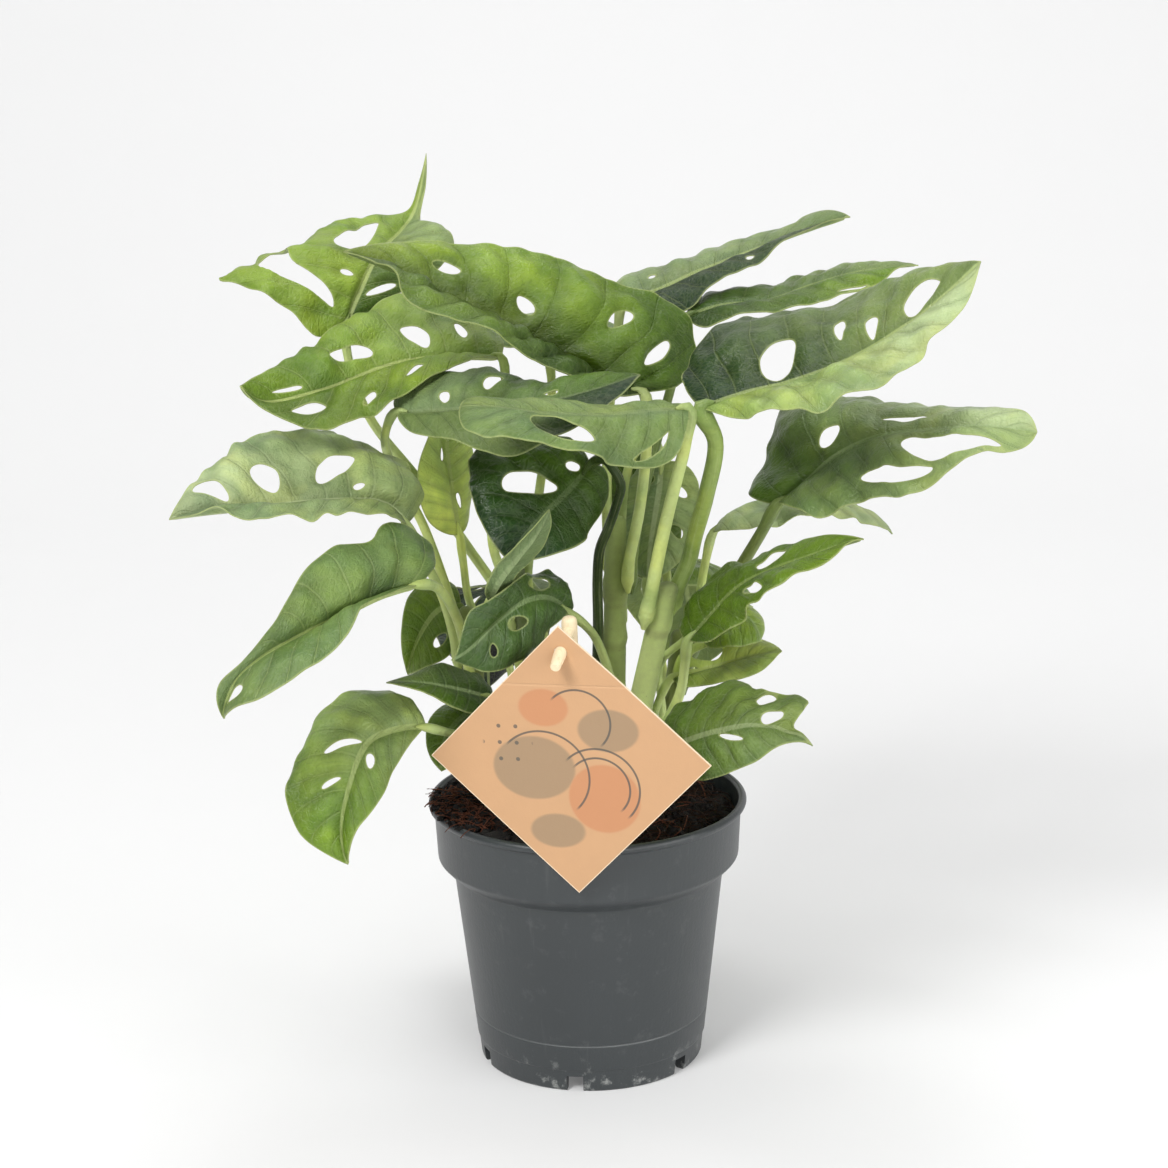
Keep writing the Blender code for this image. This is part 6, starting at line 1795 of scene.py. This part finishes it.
def leaf_skin(name, roughness, vein_tone, clear):
    material, tree, shader, place = new_material(name)
    flat, phase = stored(tree, "flat", "Vector"), stored(tree, "phase")
    under, stalk, rib = (stored(tree, label) for label in ("under", "stalk", "rib"))
    blade = maths(tree, "SUBTRACT", 1.0, stalk)

    def on_leaf(mask):
        return times(tree, mask, blade)

    offset = maths(tree, "SUBTRACT", phase, maths(tree, "ROUND", phase))
    offset = times(tree, offset, stored(tree, "gap"))
    side_vein = on_leaf(soft_line(tree, offset, 0.15, 0.45))
    # Painted shade in broken soft valleys beside the side veins.
    broken = threshold(tree, clouds(tree, place, 120.0, 2.0), 0.36, 0.60)
    valley_shade = times(tree, soft_line(tree, offset, 0.25, 1.5), on_leaf(broken))
    midrib = soft_line(tree, rib, stored(tree, "rib_width"), 0.5)
    base, cloud = green_with_painted_light(tree, place)
    base = tinged(tree, base, VALLEY_SHADE, valley_shade, SHARE["valley_shade"])
    across = times(tree, phase, 7.0)
    lengthwise = times(tree, rib, 0.07)
    grain = add_node(tree, "ShaderNodeCombineXYZ", {0: across, 1: lengthwise, 2: under}).outputs[0]
    streaks = clouds(tree, grain, 1.0, 3.0, 0.6)
    base = tinged(tree, base, STREAK, on_leaf(threshold(tree, streaks, 0.50, 0.34)), SHARE["streak"])
    values = {"Vector": flat, "Scale": 0.42, "Randomness": 0.9}
    cells = add_node(tree, "ShaderNodeTexVoronoi", values, feature="DISTANCE_TO_EDGE").outputs[0]
    net = on_leaf(threshold(tree, cells, 0.14, 0.02))
    colour = paint(tree, base, vein_tone, net, SHARE["net"])
    colour = paint(tree, colour, vein_tone, side_vein, stored(tree, "vein_pale"))
    colour = paint(tree, colour, vein_tone, midrib, stored(tree, "rib_pale"))
    rim = on_leaf(threshold(tree, stored(tree, "edge"), 0.75, 0.15))
    colour = paint(tree, colour, RIM_TONE, rim, SHARE["rim"])
    spots = threshold(tree, clouds(tree, place, 330.0, 2.0, 0.5), 0.74, 0.80)
    colour = paint(tree, colour, SPOT_TONE, spots, SHARE["spot"])
    stripes = clouds(tree, stretched(tree, flat, STRIPE_STRETCH), 1.0, 3.0)
    stripes = times(tree, threshold(tree, stripes, 0.5, 0.7), stalk)
    colour = paint(tree, colour, STRIPE_TONE, stripes, SHARE["stripe"])
    rough = times_plus(tree, under, 0.18, roughness - 0.05)
    rough = times_plus(tree, cloud, 0.16, rough)
    shader.inputs["Specular IOR Level"].default_value = 0.36
    fine = clouds(tree, stretched(tree, flat, FINE_STRETCH), 1.0, 4.0, 0.6)
    height = times_plus(tree, fine, 1.6, times(tree, net, -0.25))
    height = times_plus(tree, side_vein, -0.5, height)
    height = times_plus(tree, on_leaf(streaks), 0.8, height)
    finish_skin(tree, shader, colour, rough, height, 0.00035)
    through = add_node(tree, "ShaderNodeBsdfTranslucent", {"Color": colour})
    mix = add_node(tree, "ShaderNodeMixShader", {0: clear, 1: shader.outputs[0], 2: through.outputs[0]})
    output = tree.nodes["Material Output"]
    tree.links.new(mix.outputs[0], output.inputs["Surface"])
    return material


SKINS = {
    "leaf_green": leaf_skin("leaf_green", 0.28, linear(176, 192, 122), 0.10),
    "leaf_bright": leaf_skin("leaf_bright", 0.33, linear(196, 208, 134), 0.14),
    "leaf_grey": leaf_skin("leaf_grey", 0.42, linear(192, 204, 156), 0.12),
    "leaf_blue": leaf_skin("leaf_blue", 0.28, linear(160, 180, 128), 0.08),
}
print("leaf materials:", len(SKINS))


# %% [markdown]
# ## Growing the plant
# With the tables, the builders and the four materials in place, two short loops make the crown. The
# heights where the stalks meet a stem come from the leaf table, so that the rings sit under them.

# %% Grow the plant
for name, vine in VINES.items():
    joints = [leaf["joint"] for leaf in LEAVES.values() if leaf["vine"] == name]
    make_vine(name, vine, joints)
print("stems:", len(VINES))
total = 0
for name, leaf in LEAVES.items():
    blade = make_leaf(name, leaf, SKINS[leaf["green"]])
    total += len(blade.data.polygons)
print("leaves:", len(LEAVES), "with", total, "faces")


# %% [markdown]
# ## The card label
# A square of thin printed card hangs on one corner from a wooden peg. It has a scored fold near the
# top and a pale cut edge. Its print is a plain design of soft round shapes with arcs and dots in
# warm colours, drawn by the material on the card's own flat coordinates.

# %% Card print
CARD_SIDE = 72.3
CARD_THICKNESS = 0.6
CARD_CENTRE = (-6.2, -64.8, 136.9)
CARD_TURN = 15.3
CARD_LEAN = 5.2
CARD_ROLL = 1.8
CARD_FOLD = 28.5
CARD_REACH = CARD_SIDE / math.sqrt(2)
CARD_TONE = linear(194, 152, 112)
FOLD_TONE = linear(206, 164, 124)
CUT_TONE = linear(246, 228, 200)
TAUPE, RUST, INK = linear(158, 131, 101), linear(190, 134, 94), linear(80, 78, 73)
OVALS = [
    ((-13, -3), (15, 12), TAUPE), ((12, -14), (13, 13), RUST), ((15, 12), (11, 8), TAUPE),
    ((-8, 20), (9, 7), RUST), ((-6, -27), (10, 6.5), TAUPE),
]
ARCS = (((-10, -6), 17), ((10, -10), 15), ((10, -10), 11.5), ((4, 15), 12))
DOTS = ((-22, 6), (9, 9))
DOT_PITCH = 0.16


def card_frame():
    """The card's centre, its directions along and up, and the way that it faces."""
    turn, lean, roll = (math.radians(angle) for angle in (CARD_TURN, CARD_LEAN, CARD_ROLL))
    level = np.array([math.cos(turn), -math.sin(turn), 0])
    outward = np.array([-math.sin(turn), -math.cos(turn), 0]) * math.cos(lean)
    outward[2] = -math.sin(lean)
    rising = np.cross(outward, level)
    along = math.cos(roll) * level + math.sin(roll) * rising
    upward = math.cos(roll) * rising - math.sin(roll) * level
    return np.array(CARD_CENTRE), along, upward, outward


def disc(tree, u, v, centre, size, softness=0.6):
    """A filled ellipse on the card; centre and half sizes in millimetres."""
    x = maths(tree, "DIVIDE", maths(tree, "SUBTRACT", u, centre[0]), size[0])
    y = maths(tree, "DIVIDE", maths(tree, "SUBTRACT", v, centre[1]), size[1])
    squares = [maths(tree, "POWER", way, 2.0) for way in (x, y)]
    far = maths(tree, "SQRT", maths(tree, "ADD", *squares))
    edge = softness / min(size)
    return threshold(tree, far, 1 + edge, 1 - edge), far


def printed_card():
    material, tree, shader, place = new_material("printed_card")
    card = stored(tree, "card", "Vector")
    flat = add_node(tree, "ShaderNodeSeparateXYZ", {0: card})
    u, v = flat.outputs[0], flat.outputs[1]
    colour, cloud = mottled(tree, CARD_TONE, place, 40.0, 0.03)
    for centre, size, tone in OVALS:
        mask, _ = disc(tree, u, v, centre, size)
        colour = between(tree, mask, colour, tone)
    for centre, size in ARCS:
        _, far = disc(tree, u, v, centre, (size, size))
        ring = times(tree, maths(tree, "SUBTRACT", far, 1.0), float(size))
        half = threshold(tree, maths(tree, "ADD", u, v), sum(centre) - 2, sum(centre) + 2)
        line = times(tree, soft_line(tree, ring, 0.28, 0.2), half)
        colour = paint(tree, colour, INK, line, 0.85)
    values = {"Vector": card, "Scale": DOT_PITCH, "Randomness": 0.0}
    dots = add_node(tree, "ShaderNodeTexVoronoi", values).outputs["Distance"]
    field, _ = disc(tree, u, v, *DOTS)
    dots = times(tree, threshold(tree, dots, 0.14, 0.10), field)
    colour = paint(tree, colour, INK, dots, 0.8)
    fold = soft_line(tree, maths(tree, "SUBTRACT", v, CARD_FOLD), 0.12, 0.5)
    colour = paint(tree, colour, FOLD_TONE, fold, 0.35)
    away = maths(tree, "ADD", maths(tree, "ABSOLUTE", u), maths(tree, "ABSOLUTE", v))
    cut = threshold(tree, away, CARD_REACH - 0.55, CARD_REACH - 0.2)
    colour = paint(tree, colour, CUT_TONE, cut, 0.8)
    rough = times_plus(tree, cloud, 0.2, 0.5)
    fibres = clouds(tree, place, 1400.0, 4.0, 0.6)
    height = times_plus(tree, fold, -2.0, fibres)
    finish_skin(tree, shader, colour, rough, height, 0.00007)
    return material


# %% [markdown]
# ## The card's shape
# The card is a fine grid of squares, curled a little along its width and bent back above the fold.
# Its hole is cut after that, where the peg goes through, so the hole stays round on the slope.

# %% Card shape
CARD_GRID = 60
CARD_SHARP = 40
CARD_CURL = 0.5
FOLD_BEND = 0.35
PEG_START = (-5.3, -57.6, 183.2)
PEG_END = (-10.5, -76.0, 174.3)
PEG_RADIUS = 2.3
PUNCH_TAPER = 0.4
ROD_SIDES = 32


def rod(start, end, profile):
    """A round rod from start to end, given by shares of its length and the radius at each."""
    start, end = np.array(start), np.array(end)
    path = [start + (end - start) * share for share, _ in profile]
    return loft(sweep(path, [radius for _, radius in profile], ROD_SIDES))


def make_card(material):
    centre, along, upward, outward = card_frame()
    steps = np.linspace(-0.5, 0.5, CARD_GRID + 1) * CARD_SIDE
    p, q = np.meshgrid(steps, steps, indexing="ij")
    a, b = ((p + q) / math.sqrt(2)).ravel(), ((q - p) / math.sqrt(2)).ravel()
    bend = FOLD_BEND * soft_step(b, CARD_FOLD, CARD_REACH) * 3.0
    curl = CARD_CURL * (a / CARD_REACH)**2 - bend
    middle = centre + np.outer(a, along) + np.outer(b, upward) - np.outer(curl, outward)
    half = outward * CARD_THICKNESS / 2
    points = np.concatenate([middle + half, middle - half])
    n = CARD_GRID + 1
    faces = []
    for i in range(CARD_GRID):
        for j in range(CARD_GRID):
            k = i * n + j
            front = (k, k + n, k + n + 1, k + 1)
            faces.append(front)
            faces.append(tuple(v + n * n for v in reversed(front)))
    loop = [i * n for i in range(n)] + [CARD_GRID * n + j for j in range(1, n)]
    loop += [i * n + CARD_GRID for i in range(CARD_GRID - 1, -1, -1)]
    loop += list(range(CARD_GRID - 1, 0, -1))
    for first, second in zip(loop, loop[1:] + loop[:1]):
        faces.append((second, first, first + n * n, second + n * n))
    card = add_piece("hanging_card", points, faces, material, CARD_SHARP)
    profile = [(0.0, PEG_RADIUS + GAP), (1.0, PEG_RADIUS + GAP - PUNCH_TAPER)]
    cut_away(card, [add_piece("punch", *rod(PEG_START, PEG_END, profile), material)])
    card.data.shade_smooth()
    card.data.set_sharp_from_angle(angle=math.radians(CARD_SHARP))
    shift = np.array([v.co for v in card.data.vertices]) / MM - centre
    flat = np.column_stack([shift @ along, shift @ upward, np.zeros(len(shift))])
    store(card, "card", flat, "FLOAT_VECTOR")
    dress(card, "label_paper", "label_card")
    return card


card = make_card(printed_card())
print("card faces:", len(card.data.polygons))


# %% [markdown]
# ## The stick and its peg
# A birch stick stands in the soil behind the card, and a short turned peg goes through the card and
# holds it. Both are pale wood with long fine grain, a rounded top and a flat front end.

# %% Stick
STICK_FOOT = (-4.0, -46.5, 83.0)
STICK_TOP = (-5.4, -58.0, 187.6)
STICK_PROFILE = [(0.0, 2.8), (0.1, 2.8), (0.5, 2.8), (0.9, 2.8), (0.975, 2.8)]
STICK_PROFILE += [(0.985, 2.7), (0.992, 2.45), (0.997, 2.0), (1.0, 1.3)]
PEG_PROFILE = [(0.0, PEG_RADIUS), (0.4, PEG_RADIUS), (0.72, PEG_RADIUS - 0.1)]
PEG_PROFILE += [(0.9, 1.95), (0.97, 1.85), (1.0, 1.6)]
BIRCH_TONE = linear(238, 218, 182)
GRAIN_TONE = linear(204, 172, 128)
GRAIN_STRETCH = (900.0, 900.0, 60.0)


def birch():
    material, tree, shader, place = new_material("birch")
    long_grain = clouds(tree, stretched(tree, place, GRAIN_STRETCH), 1.0, 4.0, 0.6)
    pale, _ = mottled(tree, BIRCH_TONE, place, 50.0, 0.05)
    streak = threshold(tree, long_grain, 0.50, 0.72)
    colour = paint(tree, pale, GRAIN_TONE, streak, 0.45)
    rough = times_plus(tree, streak, 0.15, 0.52)
    finish_skin(tree, shader, colour, rough, long_grain, 0.00015)
    return material


def make_stick(material):
    points, faces = rod(STICK_FOOT, STICK_TOP, STICK_PROFILE)
    peg, peg_faces = rod(PEG_START, PEG_END, PEG_PROFILE)
    faces = faces + [tuple(v + len(points) for v in face) for face in peg_faces]
    stick = add_piece("birch_stick", np.concatenate([points, peg]), faces, material, 40)
    dress(stick, "peg_wood", "label_stick")
    return stick


stick = make_stick(birch())
print("stick faces:", len(stick.data.polygons))


# %% [markdown]
# ## The floor
# The plant stands on a plain pale sweep, so that the eye stays on it: a flat floor that bends up
# into a wall far behind. It glows a little, more so far away, which keeps it evenly pale.

# %% Floor
FLOOR_SIZE = 3.0
FLOOR_TONE = linear(212, 212, 212)
FLOOR_ROUGHNESS = 0.9
FLOOR_GLOW = 0.21
FAR_GLOW = 0.36
FLOOR_FRONT = -2.5
BEND_START = 0.9
BEND_RADIUS = 0.6
WALL_TOP = 2.6


def make_floor():
    material, tree, shader, place = new_material("studio_sweep")
    shader.inputs["Roughness"].default_value = FLOOR_ROUGHNESS
    tone, _ = mottled(tree, FLOOR_TONE, place, 3.0, 0.004)
    tree.links.new(tone, shader.inputs["Base Color"])
    axes = add_node(tree, "ShaderNodeSeparateXYZ", {"Vector": place}).outputs
    far = threshold(tree, axes["Y"], 0.15, 1.1)
    lit = times_plus(tree, far, FAR_GLOW - FLOOR_GLOW, FLOOR_GLOW)
    glow = vector_maths(tree, "MULTIPLY", tone, lit).outputs[0]
    tree.links.new(glow, shader.inputs["Emission Color"])
    shader.inputs["Emission Strength"].default_value = 1.0
    profile = [(FLOOR_FRONT, 0.0), (BEND_START, 0.0)]
    for turn in np.radians(np.arange(10, 91, 10)):
        rise = BEND_RADIUS * (1 - math.cos(turn))
        profile.append((BEND_START + BEND_RADIUS * math.sin(turn), rise))
    profile.append((BEND_START + BEND_RADIUS, WALL_TOP))
    points = [(side * FLOOR_SIZE, y, z) for y, z in profile for side in (-1, 1)]
    faces = [(2 * i, 2 * i + 1, 2 * i + 3, 2 * i + 2) for i in range(len(profile) - 1)]
    floor = add_piece("studio_floor", np.array(points) / MM, faces, material, 60)
    return floor


floor = make_floor()
print("floor faces:", len(floor.data.polygons))


# %% [markdown]
# ## The light
# A bright even sky gives the soft studio light, and large area lamps model the blades from the upper
# left. A low lamp in front brings out the stems between the leaves.

# %% Light
LAMPS = {
    "key": ((-0.7, -1.1, 1.3), (0, 0, 0.18), 0.6, 22.0),
    "fill": ((1.3, -0.7, 0.5), (0, 0, 0.14), 1.0, 9.0),
    "top": ((0.1, 0.4, 1.7), (0, 0, 0.15), 0.6, 8.0),
    "front": ((0.45, -1.3, 0.35), (0.02, 0, 0.18), 0.5, 4.0),
}
SKY_LOW, SKY_HIGH = 0.20, 0.55
SKY_FULL_AT = 0.9


def area_light(name, place, target, size, power):
    lamp = bpy.data.lights.new(name, "AREA")
    lamp.energy = power
    lamp.size = size
    holder = bpy.data.objects.new(name, lamp)
    bpy.context.collection.objects.link(holder)
    holder.location = place
    direction = Vector(target) - Vector(place)
    holder.rotation_euler = direction.to_track_quat("-Z", "Y").to_euler()
    print(name, "lamp:", power, "W")


def soft_sky(low, high):
    """A sky that is bright overhead and dimmer towards the horizon."""
    world = bpy.data.worlds.new("soft sky")
    bpy.context.scene.world = world
    world.use_nodes = True
    tree = world.node_tree
    aim = add_node(tree, "ShaderNodeTexCoord").outputs["Generated"]
    rise = add_node(tree, "ShaderNodeSeparateXYZ", {0: aim}).outputs[2]
    share = threshold(tree, rise, 0.0, SKY_FULL_AT)
    strength = times_plus(tree, share, high - low, low)
    tree.links.new(strength, tree.nodes["Background"].inputs["Strength"])
    tree.nodes["Background"].inputs["Color"].default_value = (1.0, 1.0, 1.0, 1.0)


for name, (place, target, size, power) in LAMPS.items():
    area_light(name, place, target, size, power)
soft_sky(SKY_LOW, SKY_HIGH)
bpy.context.scene.view_settings.view_transform = "Standard"


# %% [markdown]
# ## The camera
# The camera has a long lens and looks down a little, as a product photograph does. Its place, pitch
# and roll were fitted to the ellipses of the pot's rim and foot.

# %% Camera
LENS = 86.53
SENSOR_WIDTH = 36.0
CAMERA_PLACE = (0.0, -1.004, 0.4473)
CAMERA_PITCH = 14.69
CAMERA_ROLL = -0.0166

camera = bpy.data.cameras.new("camera")
camera.lens = LENS
camera.sensor_width = SENSOR_WIDTH
camera.clip_end = 20.0
viewer = bpy.data.objects.new("camera", camera)
bpy.context.collection.objects.link(viewer)
pitch = math.radians(CAMERA_PITCH)
forward = Vector((0, math.cos(pitch), -math.sin(pitch)))
above = Vector((0, math.sin(pitch), math.cos(pitch)))
right = Vector((1, 0, 0))
level = math.cos(CAMERA_ROLL) * right + math.sin(CAMERA_ROLL) * above
upright = -math.sin(CAMERA_ROLL) * right + math.cos(CAMERA_ROLL) * above
axes = Matrix((level, upright, -forward)).transposed()
viewer.matrix_world = Matrix.Translation(CAMERA_PLACE) @ axes.to_4x4()
bpy.context.scene.camera = viewer
print("camera at", [round(c, 3) for c in viewer.location], "with a lens of", LENS, "mm")
